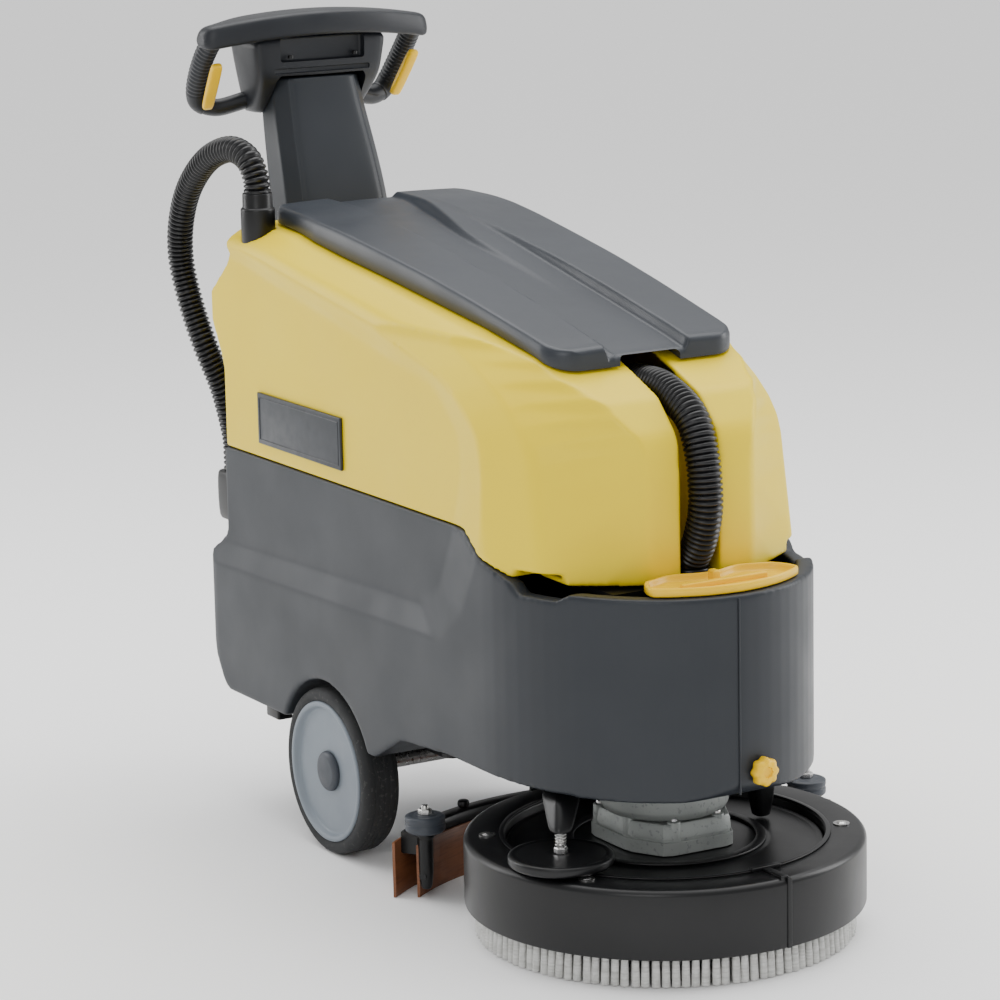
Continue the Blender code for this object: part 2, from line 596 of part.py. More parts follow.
def insides():
    """What the body holds: batteries, vacuum motor and the float cage under the lid."""
    for n, x in enumerate((-0.545, -0.350)):
        low, high = (x - 0.086, -0.124, 0.1823), (x + 0.086, 0.124, 0.390)
        add(f"battery_{n + 1}", box(f"battery_{n + 1}", low, high, 0.004, 1), "battery_case")
    casing = [(0, 0.4700), (0.050, 0.4700), (0.060, 0.460), (0.060, 0.4105), (0.050, 0.3903), (0, 0.3903)]
    add("vacuum_motor", turned("vacuum_motor", casing, 24, at=(-0.350, 0, 0)), "cast_metal")
    wall = [(0.034, 0.668), (0.034, 0.560), (0.031, 0.560), (0.031, 0.665), (0.020, 0.665), (0.020, 0.668)]
    add("float_cage", turned("float_cage", wall, 28, at=(-0.560, 0, 0)), "black_plastic")


def chassis():
    """The painted steel plate under the body, the axle and its cheeks."""
    plate = rounded([(-0.640, -0.120, 0.015), (-0.300, -0.120, 0.015), (-0.300, 0.120, 0.015),
                     (-0.640, 0.120, 0.015)])
    frame = add("chassis_frame", slab("chassis_frame", plate, 0.1517, 0.157 - GAP), "frame_paint")
    for side, word in SIDES:
        low, high = sorted((side * 0.112, side * 0.118))
        cheek = rounded([(WHEEL_X - 0.045, 0.1540, 0.0), (WHEEL_X - 0.018, 0.088, 0.016),
                         (WHEEL_X + 0.018, 0.088, 0.016), (WHEEL_X + 0.045, 0.1540, 0.0)])
        boolean(frame, "UNION", add(f"axle_cheek_{word}", slab("axle_cheek", cheek, low, high, "XZ")))
    bore = cylinder("cheek_bore", AXLE_R + GAP, -0.2, 0.2, (WHEEL_X, WHEEL_R), 24, "Y")
    boolean(frame, "DIFFERENCE", add("cheek_bore", bore))
    add("axle", cylinder("axle", AXLE_R, -0.186, 0.186, (WHEEL_X, WHEEL_R), 24, "Y"), "steel")


def wheels():
    """Solid tyres on moulded hubs: the hub's face is a sunk disc with a raised rim."""
    for side, word in SIDES:
        spin = empty(f"wheel_axis_{word}", (WHEEL_X, side * WHEEL_OUT, WHEEL_R), machine)
        width, edge = WHEEL_WIDTH, 0.006
        tyre = [(RIM_R + GAP, -0.002), (0.1010, -0.002), (WHEEL_R, -0.0080), (WHEEL_R, -width + edge),
                (0.1000, -width), (RIM_R + GAP, -width)]
        hub = [(AXLE_R + GAP, -0.0095), (0.080, -0.0075), (0.0835, 0.0), (RIM_R, 0.0), (RIM_R, -width),
               (0.080, -width), (0.078, -0.016), (0.026, -0.016), (0.026, -0.045), (AXLE_R + GAP, -0.045)]
        cap = [(0, -0.0005), (0.020, -0.0015), (0.0255, -0.005), (0.0255, -0.0086), (0, -0.0086)]
        centre = Matrix.Translation((WHEEL_X, side * WHEEL_OUT, WHEEL_R))
        place = centre @ Matrix.Scale(side, 4, (0, 1, 0))
        for name, profile, slot, steps in (("tyre", tyre, "tyre_rubber", 48),
                                           ("wheel_hub", hub, "wheel_grey", 32),
                                           ("hub_cap", cap, "hub_cap", 20)):
            mesh = turned(name, profile, steps, "Y")
            mesh.transform(place)
            add(f"{name}_{word}", clean(name, mesh), slot, spin)


# ---- controls ----------------------------------------------------------------------------------------------

def column():
    """The upright post behind the tank, leaning back above it, and the cover on its back."""
    sections = [rounded_box_ring((x, 0), depth, width, 0.008, z, 2) for z, x, depth, width in COLUMN_STATIONS]
    add("column", loft("column", sections), "grey_body")
    cover = ((0.640, -0.8115, 0.003, 0.050), (0.700, -0.8175, 0.009, 0.055), (0.790, -0.8395, 0.016, 0.055),
             (0.850, -0.8640, 0.020, 0.050), (0.885, -0.8710, 0.015, 0.046))
    sections = [rounded_box_ring((x, 0), depth, width, 0.002, z, 2) for z, x, depth, width in cover]
    add("column_cover", loft("column_cover", sections), "black_plastic")


def handle_head():
    """The head on the column: a flared neck, a curved top bar and a closed loop each side for a hand."""
    neck = [rounded_box_ring((x, 0), depth, width, 0.012, z, 2) for z, x, depth, width in
            ((0.8950, -0.848, 0.044, 0.078), (0.930, -0.848, 0.046, 0.086), (0.990, -0.848, 0.048, 0.098))]
    head = add("handle_head", loft("handle_head", neck), "grip_plastic")
    room = [rounded_box_ring((x, 0), depth + GAP, width + GAP, 0.008, z, 2) for z, x, depth, width in
            COLUMN_STATIONS[2:-1]]
    top_z, top_x, top_depth, top_width = COLUMN_STATIONS[-1]
    room.append(rounded_box_ring((top_x, 0), top_depth + GAP, top_width + GAP, 0.008, top_z + GAP, 2))
    reach = 0.165
    front = [(-0.781 - 0.026 * (y / reach) ** 2, y, 0.0) for y in (reach * i / 8 for i in range(-7, 8))]
    back = [(-0.868, 0.100, 0.02), (-0.868, -0.100, 0.02)]
    ends = [(-0.807, reach, 0.014), (-0.846, 0.160, 0.016)]
    plan = [(x, -y, r) for x, y, r in reversed(ends)] + front + ends + back
    top = add("top_bar", slab("top_bar", rounded(plan, 3), 0.95, 1.10))
    arch = []
    for z, drop, steps in ((1.000, 0.016, range(-8, 9)), (1.0315, 0.018, range(8, -9, -1))):
        arch += [Vector((y, z - (y / reach) ** 2 * drop)) for y in (0.18 * i / 8 for i in steps)]
    boolean(top, "INTERSECT", add("bar_arch", slab("bar_arch", arch, -0.95, -0.70, "YZ")))
    unite = [top]
    for side, word in SIDES:
        route = [(-0.826, side * 0.148, 0.998), (-0.848, side * 0.150, 0.975), (-0.886, side * 0.145, 0.928),
                 (-0.891, side * 0.137, 0.911), (-0.883, side * 0.115, 0.906), (-0.868, side * 0.060, 0.915)]
        unite.append(add(f"loop_{word}", tube("loop", smooth_route(route, 0.016), 0.0140, 2)))
    boolean(head, "UNION", *unite)
    boolean(head, "DIFFERENCE", add("column_socket", loft("column_socket", room)))


def triggers():
    """A lever inside each loop, on a pin at its lower end, squeezed up towards the grip."""
    for side, word in SIDES:
        low, high = (Vector((x, side * y, z)) for x, y, z in (TRIGGER_PIN, TRIGGER_TIP))
        pin = empty(f"trigger_pin_{word}", low, machine)
        along = (high - low).normalized()
        mesh = box("trigger", (-0.0050, -0.008, 0.0), (0.0050, 0.008, (high - low).length), 0.003)
        frame = Matrix.Translation(low) @ along.to_track_quat("Z", "Y").to_matrix().to_4x4()
        mesh.transform(frame)
        add(f"trigger_{word}", mesh, "yellow_control", pin)


def panel():
    """The switch panel on the back of the head and its two push buttons."""
    face = box("control_panel", (-0.9060, -0.070, 0.935), (-0.8970, 0.070, 0.982), 0.002, 1)
    plate = add("control_panel", face, "black_plastic")
    for name, y, slot in (("brush_button", 0.030, "button_green"), ("vacuum_button", -0.030, "button_blue")):
        button = cylinder(name, 0.010, -0.9120, -0.9005, (y, 0.960), 20, "X")
        add(name, button, slot)
        bore = cylinder(f"{name}_bore", 0.0103, -0.92, -0.88, (y, 0.960), 20, "X")
        boolean(plate, "DIFFERENCE", add(f"{name}_bore", bore))


# ---- scrub deck --------------------------------------------------------------------------------------------

def deck():
    """The round skirt with its sunk top plate, and the four screws that hold the skirt."""
    skirt = [(0.188, DECK_TOP), (0.232, DECK_TOP), (DECK_R, DECK_TOP - 0.005), (DECK_R, 0.036),
             (0.2325, 0.036), (0.2325, 0.113), (0.192, 0.113), (0.192, 0.100), (0.178, 0.100), (0.178, 0.104),
             (0.188, 0.104)]
    add("deck_cover", turned("deck_cover", skirt, 48), "black_plastic")
    plate = [(0, 0.110), (0.1870, 0.110), (0.1870, 0.1043), (0.050, 0.1043), (0.050, 0.1000), (0, 0.1000)]
    add("deck_plate", turned("deck_plate", plate, 32), "black_plastic")
    for n, degrees in enumerate((62.0, 152.0, 242.0, 302.0)):
        angle = math.radians(degrees)
        at = (0.209 * math.cos(angle), 0.209 * math.sin(angle), DECK_TOP + GAP)
        head = [(0, 0.0030), (0.0035, 0.0028), (0.006, 0.0015), (0.0065, 0.0), (0, 0.0)]
        add(f"deck_screw_{n + 1}", turned("deck_screw", head, 12), "steel", at=at)


def drive():
    """The gear motor over the deck: a cast gearbox, the motor drum above it, and the hub below."""
    outline = rounded([(-0.082, -0.040, 0.010), (-0.052, -0.070, 0.010), (0.030, -0.070, 0.010),
                       (0.075, -0.045, 0.012), (0.078, 0.045, 0.012), (0.030, 0.070, 0.010),
                       (-0.052, 0.070, 0.010), (-0.082, 0.040, 0.010)])
    add("gearbox", slab("gearbox", outline, 0.110 + GAP, 0.1480), "cast_metal")
    drum = [(0, 0.340), (0.058, 0.340), (0.064, 0.330), (0.064, 0.190), (0.074, 0.186), (0.076, 0.178),
            (0.076, 0.1560), (0.070, 0.1483), (0, 0.1483)]
    add("gear_motor", turned("gear_motor", drum, 32), "cast_metal")
    hub = [(0, 0.0997), (0.030, 0.0997), (0.030, 0.0880), (0.055, 0.0880), (0.055, 0.0783), (0, 0.0783)]
    add("drive_hub", turned("drive_hub", hub, 20), "cast_metal", brush_axis)
    block = [(0.020, 0.0780), (0.215, 0.0780), (0.224, 0.072), (0.224, 0.052), (0.020, 0.052)]
    add("brush_block", turned("brush_block", block, 40), "black_plastic", brush_axis)
    tufts = [(0.075, 0.0517), (0.2215, 0.0517), (BRUSH_R, 0.010), (BRUSH_R, 0.0), (0.072, 0.0)]
    add("bristles", turned("bristles", tufts, 48), "bristle", brush_axis)


def wall_roller():
    """The disc at the right that runs along walls, on a bolt under a tapered leg, and the left leg."""
    x, y = SIDE_ROLLER_AT
    spin = empty("side_roller_axis", (x, y, 0.127), machine)
    disc = [(0.0055, 0.1352), (0.056, 0.1352), (SIDE_ROLLER_R, 0.1317), (SIDE_ROLLER_R, 0.1250),
            (0.058, 0.1222), (0.0055, 0.1222)]
    add("side_roller", turned("side_roller", disc, 36, at=(x, y, 0)), "black_plastic", spin)
    bolt = [(0, 0.1590), (0.0085, 0.1590), (0.0085, 0.1355), (0.0050, 0.1355), (0.0050, 0.1222), (0, 0.1222)]
    add("roller_bolt", turned("roller_bolt", bolt, 12, at=(x, y, 0)), "steel")
    leg = [rounded_box_ring(at, half_x, half_y, 0.006, z, 1) for z, at, half_x, half_y in
           ((0.1593, (x, y), 0.011, 0.011), (0.176, (0.042, -0.168), 0.016, 0.014),
            (0.1990, (0.018, -0.153), 0.023, 0.018))]
    add("roller_leg", loft("roller_leg", leg), "black_plastic")
    leg = [rounded_box_ring((-0.004, 0.140), half, half, 0.005, z, 1) for z, half in
           ((0.1103, 0.010), (0.150, 0.015), (0.1990, 0.019))]
    add("deck_leg", loft("deck_leg", leg), "black_plastic")


# ---- squeegee ----------------------------------------------------------------------------------------------

def squeegee():
    """The curved squeegee behind the brush: carrier, two blades, end rollers on posts and a swinging arm."""
    r, half = SQUEEGEE_R, SQUEEGEE_HALF_ANGLE

    def piece(name, mesh, slot, parent=squeegee_pivot):
        return add(name, mesh, slot, parent)

    piece("squeegee_carrier", slab("carrier", arc_band(r - 0.0115, r + 0.0105, half), 0.052, 0.0800),
          "black_plastic")
    front_r, rear_r = r - 0.0125, r + 0.0113
    front_band = arc_band(front_r - BLADE_THICK, front_r, half + 0.02)
    piece("front_blade", slab("front_blade", front_band, 0.0, 0.066), "blade_rubber")
    piece("rear_blade", slab("rear_blade", arc_band(rear_r, rear_r + BLADE_THICK, half + 0.05), 0.0, 0.070),
          "blade_rubber")
    ring = turned("swing_arm", [(0.106, 0.1275), (0.122, 0.1275), (0.122, 0.1103), (0.106, 0.1103)], 32)
    arm = piece("swing_arm", ring, "frame_paint")
    bar_plan = rounded([(-0.114, -0.018, 0), (-0.114, 0.018, 0), (-0.344, 0.018, 0.010),
                        (-0.344, -0.018, 0.010)])
    bar = add("arm_bar", slab("arm_bar", bar_plan, 0.1215, 0.1275), parent=squeegee_pivot)
    post = add("arm_post", cylinder("arm_post", 0.009, 0.0803, 0.125, (-r, 0), 20), parent=squeegee_pivot)
    boolean(arm, "UNION", bar, post)
    nozzle_at = (-r * math.cos(NOZZLE_ANGLE), -r * math.sin(NOZZLE_ANGLE))
    nozzle = [(0.0150, 0.1150), (0.0180, 0.1150), (0.0180, 0.0850), (0.0215, 0.0830), (0.0215, 0.0803),
              (0.0150, 0.0803)]
    piece("suction_nozzle", turned("suction_nozzle", nozzle, 24, at=(*nozzle_at, 0)), "black_plastic")
    for side, word in SIDES:
        angle = math.pi - side * (half + 0.02)
        at = Vector((END_ROLLER_FROM_AXIS * math.cos(angle), END_ROLLER_FROM_AXIS * math.sin(angle), 0))
        spin = empty(f"end_roller_axis_{word}", at, squeegee_pivot)
        roller = [(0.0058, 0.1070), (0.0215, 0.1070), (END_ROLLER_R, 0.1045), (END_ROLLER_R, 0.0880),
                  (0.0215, 0.0850), (0.0058, 0.0850)]
        piece(f"end_roller_{word}", turned("end_roller", roller, 20, at=at), "wheel_grey", spin)
        stud = [(0, 0.1180), (0.0050, 0.1180), (0.0050, 0.1130), (0.0085, 0.1130), (0.0085, 0.1073),
                (0.0052, 0.1073), (0.0052, 0.0847), (0, 0.0847)]
        piece(f"roller_stud_{word}", turned("roller_stud", stud, 12, at=at), "steel")
        post = [(0, 0.0843), (0.0095, 0.0843), (0.0095, 0.0180), (0.0070, 0.0130), (0, 0.0130)]
        piece(f"end_post_{word}", turned("end_post", post, 16, at=at), "black_plastic")


# ---- assembly ----------------------------------------------------------------------------------------------

machine = bpy.data.objects.new("machine", None)
machine.location = MACHINE_AT
parts.objects.link(machine)
lid_hinge = empty("lid_hinge", LID_HINGE, machine)
cap_axis = empty("cap_axis", (0.13, 0, 0.45), machine)
brush_axis = empty("brush_axis", (0, 0, 0), machine)
squeegee_pivot = empty("squeegee_pivot", (0, 0, 0), machine)
recesses = [side_recess(side) for side, _ in SIDES]

lower_tank()
recovery_tank()
lid()
lid_pin()
label_plates()
hoses()
filler_cap()
solution_valve()
insides()
chassis()
wheels()
column()
handle_head()
triggers()
panel()
deck()
drive()
wall_roller()
squeegee()
squeegee_pivot.rotation_euler.z = SWING
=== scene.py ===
"""Looks for the walk-behind floor scrubber: skins, hoses, bristle tufts, materials, light and camera.

Everything is placed in the machine's own axes, x towards the brush, y to its left and z up from the
floor, with the brush axis at x = y = 0. place() turns such a point into a point of the frame.
"""
import json
import math
import random

import bmesh
import bpy
from mathutils import Matrix, Vector


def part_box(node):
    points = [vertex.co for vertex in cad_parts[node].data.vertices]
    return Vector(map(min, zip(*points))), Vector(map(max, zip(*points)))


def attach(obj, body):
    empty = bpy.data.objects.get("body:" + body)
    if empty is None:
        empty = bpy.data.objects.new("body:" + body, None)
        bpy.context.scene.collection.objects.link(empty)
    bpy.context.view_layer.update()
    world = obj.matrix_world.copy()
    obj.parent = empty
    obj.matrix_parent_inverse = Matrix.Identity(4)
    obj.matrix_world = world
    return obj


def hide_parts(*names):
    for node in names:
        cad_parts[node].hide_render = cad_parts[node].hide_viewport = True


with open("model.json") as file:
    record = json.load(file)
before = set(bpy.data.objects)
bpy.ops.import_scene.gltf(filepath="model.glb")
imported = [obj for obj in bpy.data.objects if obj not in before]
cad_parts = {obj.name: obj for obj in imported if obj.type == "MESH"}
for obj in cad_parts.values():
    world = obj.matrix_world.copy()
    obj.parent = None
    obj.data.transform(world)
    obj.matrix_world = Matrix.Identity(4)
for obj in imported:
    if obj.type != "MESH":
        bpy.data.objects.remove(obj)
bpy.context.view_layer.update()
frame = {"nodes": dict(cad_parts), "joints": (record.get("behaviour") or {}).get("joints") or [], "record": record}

NODES = frame["nodes"]
JOINTS = {joint["name"]: joint for joint in frame["joints"]}
AXIS = Vector(JOINTS["brush_spin"]["pos_m"])
ORIGIN = Vector((AXIS.x, AXIS.y, 0.0))
SWING = math.radians(-15.6)
SIDES = ((-1, "right"), (1, "left"))
random.seed(7)


def place(x, y=0.0, z=0.0):
    return ORIGIN + Vector((x, y, z))


def swung(point):
    """A point drawn with the squeegee straight behind the brush, where the squeegee really stands."""
    return ORIGIN + Matrix.Rotation(SWING, 3, "Z") @ Vector(point)


# ---- materials ---------------------------------------------------------------------------------------------

def material(name, colour, roughness, second=None, patch=6.0, metallic=0.0, grain=900.0, bump=0.06,
             grain_depth=0.0003, rough_range=0.06, speck=None, streak=None, gloss=0.5):
    """A moulded or cast surface: slow colour drift, varying roughness and a fine grain in the bump."""
    made = bpy.data.materials.new(name)
    made.use_nodes = True
    nodes, links = made.node_tree.nodes, made.node_tree.links
    shader = nodes["Principled BSDF"]
    shader.inputs["Metallic"].default_value = metallic
    shader.inputs["Specular IOR Level"].default_value = gloss
    where = nodes.new("ShaderNodeTexCoord").outputs["Object"]

    def noise_node(scale, detail=3.0, stretch=None):
        texture = nodes.new("ShaderNodeTexNoise")
        texture.inputs["Scale"].default_value = scale
        texture.inputs["Detail"].default_value = detail
        source = where
        if stretch:
            mapping = nodes.new("ShaderNodeMapping")
            mapping.inputs["Scale"].default_value = stretch
            links.new(where, mapping.inputs["Vector"])
            source = mapping.outputs["Vector"]
        links.new(source, texture.inputs["Vector"])
        return texture.outputs["Fac"]

    def ramp(value, low, high, start=0.3, stop=0.7):
        node = nodes.new("ShaderNodeMapRange")
        node.inputs["From Min"].default_value = start
        node.inputs["From Max"].default_value = stop
        node.inputs["To Min"].default_value = low
        node.inputs["To Max"].default_value = high
        links.new(value, node.inputs["Value"])
        return node.outputs["Result"]

    def mixed(factor, first, other):
        node = nodes.new("ShaderNodeMix")
        node.data_type = "RGBA"
        links.new(factor, node.inputs["Factor"])
        for socket, value in ((node.inputs[6], first), (node.inputs[7], other)):
            if isinstance(value, tuple):
                socket.default_value = (*value, 1.0)
            else:
                links.new(value, socket)
        return node.outputs[2]

    second = second or tuple(min(1.0, channel * 1.10 + 0.002) for channel in colour)
    base = mixed(ramp(noise_node(patch), 0.0, 1.0), colour, second)
    if speck:
        base = mixed(ramp(noise_node(grain * 0.4, 2.0), 0.0, 1.0, 0.60, 0.68), base, speck)
    if streak:
        base = mixed(ramp(noise_node(30.0, 4.0, (1.0, 1.0, 14.0)), 0.0, 0.8, 0.45, 0.75), base, streak)
    links.new(base, shader.inputs["Base Color"])
    rough = ramp(noise_node(patch * 3.0, 5.0), roughness - rough_range, roughness + rough_range)
    links.new(rough, shader.inputs["Roughness"])
    height = nodes.new("ShaderNodeBump")
    height.inputs["Strength"].default_value = bump
    height.inputs["Distance"].default_value = grain_depth
    links.new(noise_node(grain, 2.0), height.inputs["Height"])
    links.new(height.outputs["Normal"], shader.inputs["Normal"])
    return made


MATERIALS = {
    "yellow_tank": material("yellow_moulding", (0.80, 0.585, 0.003), 0.40, (0.84, 0.63, 0.006), 3.0,
                            grain=700.0,
                            bump=0.10, rough_range=0.06, gloss=0.28),
    "grey_body": material("grey_moulding", (0.0150, 0.0180, 0.0225), 0.44, (0.019, 0.0225, 0.028), 4.0,
                          grain=700.0,
                          bump=0.14, rough_range=0.05, gloss=0.34),
    "grey_lid": material("lid_moulding", (0.022, 0.026, 0.033), 0.38, (0.028, 0.033, 0.041), 5.0,
                         grain=1100.0,
                         bump=0.16, rough_range=0.04, gloss=0.40),
    "black_plastic": material("black_moulding", (0.0035, 0.0036, 0.0040), 0.34, (0.0050, 0.0052, 0.0058), 7.0,
                              bump=0.05, rough_range=0.03, gloss=0.34),
    "grip_plastic": material("grip_moulding", (0.0095, 0.011, 0.0145), 0.42, (0.013, 0.015, 0.019), 9.0,
                             grain=1500.0, bump=0.20, gloss=0.36),
    "yellow_control": material("yellow_control_moulding", (0.84, 0.50, 0.002), 0.36, (0.88, 0.55, 0.004),
                               20.0,
                               gloss=0.30),
    "badge": material("badge_plate", (0.016, 0.019, 0.024), 0.36, (0.021, 0.025, 0.031), 25.0, gloss=0.35),
    "hose": material("hose_plastic", (0.0035, 0.0035, 0.0040), 0.32, (0.005, 0.005, 0.006), 30.0, bump=0.04,
                     gloss=0.40),
    "tyre_rubber": material("tyre_rubber", (0.020, 0.021, 0.022), 0.76, (0.030, 0.031, 0.032), 18.0,
                            grain=500.0,
                            bump=0.25, speck=(0.048, 0.047, 0.046), gloss=0.30),
    "wheel_grey": material("wheel_plastic", (0.17, 0.195, 0.225), 0.44, (0.19, 0.22, 0.25), 14.0,
                           grain=1400.0,
                           bump=0.10, gloss=0.35),
    "hub_cap": material("hub_cap_plastic", (0.034, 0.040, 0.050), 0.45, (0.044, 0.050, 0.062), 30.0,
                        gloss=0.35),
    "cast_metal": material("cast_aluminium", (0.29, 0.31, 0.30), 0.50, (0.35, 0.37, 0.355), 16.0,
                           metallic=0.35,
                           grain=420.0, bump=0.35, grain_depth=0.0006, speck=(0.24, 0.255, 0.25)),
    "steel": material("zinc_steel", (0.46, 0.46, 0.47), 0.30, (0.56, 0.55, 0.52), 60.0, metallic=1.0),
    "frame_paint": material("frame_paint", (0.0060, 0.0060, 0.0066), 0.40, (0.010, 0.010, 0.011), 14.0,
                            bump=0.12,
                            gloss=0.35),
    "bristle": material("bristle_filament", (0.52, 0.52, 0.50), 0.62, (0.68, 0.68, 0.66), 120.0, bump=0.20,
                        streak=(0.38, 0.38, 0.36), gloss=0.30),
    "blade_rubber": material("blade_rubber", (0.17, 0.062, 0.026), 0.46, (0.23, 0.088, 0.038), 22.0,
                             streak=(0.12, 0.042, 0.018), gloss=0.35),
    "battery_case": material("battery_case", (0.012, 0.012, 0.015), 0.50, (0.018, 0.018, 0.022), 12.0),
    "button_green": material("green_button", (0.02, 0.26, 0.06), 0.32, (0.03, 0.32, 0.08), 60.0),
    "button_blue": material("blue_button", (0.02, 0.08, 0.38), 0.32, (0.03, 0.11, 0.44), 60.0),
}


# ---- making pieces -----------------------------------------------------------------------------------------

def link(name, mesh):
    obj = bpy.data.objects.new(name, mesh)
    bpy.context.scene.collection.objects.link(obj)
    return obj


def finish(obj, slot, body, *replaced, sharp=40.0, look=None):
    """Gives a piece its material and body, and hides the CAD nodes that it stands for."""
    obj.data.materials.clear()
    obj.data.materials.append(MATERIALS[look or slot])
    if obj.type == "MESH":
        obj.data.shade_smooth()
        if sharp:
            obj.data.set_sharp_from_angle(angle=math.radians(sharp))
    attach(obj, body)
    if replaced:
        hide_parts(*replaced)
    return obj


def baked(obj, modifiers):
    """The object's mesh with these modifiers, given as (type, settings), applied."""
    for kind, settings in modifiers:
        modifier = obj.modifiers.new(kind.title(), kind)
        for key, value in settings.items():
            setattr(modifier, key, value)
    graph = bpy.context.evaluated_depsgraph_get()
    mesh = bpy.data.meshes.new_from_object(obj.evaluated_get(graph))
    obj.modifiers.clear()
    obj.data = mesh
    return obj


def moulded(name, node, slot, body, voxel=0.0035, passes=10):
    """A rounded skin made from a CAD node: evenly remeshed, then relaxed until its edges are soft."""
    obj = link(name, NODES[node].data.copy())
    baked(obj, [("REMESH", {"mode": "VOXEL", "voxel_size": voxel, "use_smooth_shade": True}),
                ("SMOOTH", {"factor": 0.5, "iterations": passes})])
    return finish(obj, slot, body, node, sharp=None)


def lathe(name, profile, at, steps=96, axis="Z", closed=True, side=1):
    """A turned piece: (radius, height) points swept about an axis through the point at."""
    bm = bmesh.new()
    rings = []
    for i in range(steps):
        turn = 2 * math.pi * i / steps
        ring = []
        for radius, height in profile:
            if axis == "Z":
                offset = Vector((radius * math.cos(turn), radius * math.sin(turn), height))
            else:
                offset = Vector((radius * math.cos(turn), height * side, radius * math.sin(turn)))
            ring.append(bm.verts.new(at + offset))
        rings.append(ring)
    last = len(profile) if closed else len(profile) - 1
    for ring, after in zip(rings, rings[1:] + rings[:1]):
        for i in range(last):
            j = (i + 1) % len(profile)
            bm.faces.new((ring[i], after[i], after[j], ring[j]))
    bmesh.ops.remove_doubles(bm, verts=bm.verts, dist=0.000005)
    bmesh.ops.recalc_face_normals(bm, faces=bm.faces)
    mesh = bpy.data.meshes.new(name)
    bm.to_mesh(mesh)
    bm.free()
    return link(name, mesh)


def softened(profile, cut=0.0012):
    """The same closed profile with its corners cut twice, so that a turned edge catches light."""
    points = [Vector(p) for p in profile]
    for _ in range(2):
        out = []
        for i, here in enumerate(points):
            if here.x == 0:
                out.append(here)
                continue
            for other in (points[i - 1], points[(i + 1) % len(points)]):
                reach = (other - here).length
                out.append(here.lerp(other, min(cut / reach, 0.4) if reach > 1e-6 else 0))
        points = out
        cut *= 0.45
    return points


def smooth_route(points, spacing):
    """Evenly spaced points on a smooth curve through the given ones."""
    knots = [Vector(p) for p in points]
    knots = [2 * knots[0] - knots[1], *knots, 2 * knots[-1] - knots[-2]]
    dense = []
    for a, b, c, d in zip(knots, knots[1:], knots[2:], knots[3:]):
        for step in range(40):
            t = step / 40
            dense.append(0.5 * (2 * b + (c - a) * t + (2 * a - 5 * b + 4 * c - d) * t ** 2
                                + (3 * b - a - 3 * c + d) * t ** 3))
    dense.append(knots[-2])
    out, walked, target = [dense[0]], 0.0, spacing
    for first, second in zip(dense, dense[1:]):
        step = (second - first).length
        while step and walked + step >= target:
            out.append(first.lerp(second, (target - walked) / step))
            target += spacing
        walked += step
    return out


def swept(name, points, radii, sides=28, squash=1.0):
    """A tube along points with its own radius at each, closed at both ends."""
    bm = bmesh.new()
    tangent = (points[1] - points[0]).normalized()
    across = tangent.orthogonal().normalized()
    rings = []
    for i, (point, radius) in enumerate(zip(points, radii)):
        ahead = points[min(i + 1, len(points) - 1)] - points[max(i - 1, 0)]
        tangent = ahead.normalized()
        across = (across - tangent * across.dot(tangent)).normalized()
        over = tangent.cross(across)
        rings.append([bm.verts.new(point + (across * math.cos(a) + over * math.sin(a) * squash) * radius)
                      for a in (2 * math.pi * k / sides for k in range(sides))])
    for ring, after in zip(rings, rings[1:]):
        for k in range(sides):
            bm.faces.new((ring[k], ring[(k + 1) % sides], after[(k + 1) % sides], after[k]))
    bm.faces.new(list(reversed(rings[0])))
    bm.faces.new(rings[-1])
    bmesh.ops.recalc_face_normals(bm, faces=bm.faces)
    mesh = bpy.data.meshes.new(name)
    bm.to_mesh(mesh)
    bm.free()
    return link(name, mesh)


def loft(name, sections, smooth=2):
    """A skin over rings of equal point counts, capped, with a subdivision that rounds it."""
    bm = bmesh.new()
    rings = [[bm.verts.new(point) for point in section] for section in sections]
    for lower, upper in zip(rings, rings[1:]):
        for i in range(len(lower)):
            j = (i + 1) % len(lower)
            bm.faces.new((lower[i], lower[j], upper[j], upper[i]))
    bm.faces.new(rings[0])
    bm.faces.new(rings[-1])
    bmesh.ops.recalc_face_normals(bm, faces=bm.faces)
    mesh = bpy.data.meshes.new(name)
    bm.to_mesh(mesh)
    bm.free()
    obj = link(name, mesh)
    if smooth:
        baked(obj, [("SUBSURF", {"levels": smooth, "render_levels": smooth})])
    return obj


def rounded_ring(centre, half_x, half_y, corner, z, steps=4):
    """A level rounded rectangle's points, anticlockwise from its rear right corner."""
    ring = []
    for sx, sy, start in ((-1, -1, 180), (1, -1, 270), (1, 1, 0), (-1, 1, 90)):
        for k in range(steps + 1):
            turn = math.radians(start + 90 * k / steps)
            x = centre[0] + sx * (half_x - corner) + corner * math.cos(turn)
            y = centre[1] + sy * (half_y - corner) + corner * math.sin(turn)
            ring.append(place(x, y, z))
    return ring


def block(name, low, high, bevel, turn=None):
    """A bevelled block between two corners given in the machine's axes."""
    low, high = Vector(low), Vector(high)
    bm = bmesh.new()
    bmesh.ops.create_cube(bm, size=1.0)
    bmesh.ops.scale(bm, vec=high - low, verts=bm.verts)
    bmesh.ops.bevel(bm, geom=bm.edges, offset=bevel, segments=4, profile=0.5, affect="EDGES")
    if turn is not None:
        bmesh.ops.rotate(bm, cent=(0, 0, 0), matrix=turn, verts=bm.verts)
    bmesh.ops.translate(bm, vec=ORIGIN + (low + high) / 2, verts=bm.verts)
    mesh = bpy.data.meshes.new(name)
    bm.to_mesh(mesh)
    bm.free()
    return link(name, mesh)


# ---- tanks, lid and cap ------------------------------------------------------------------------------------

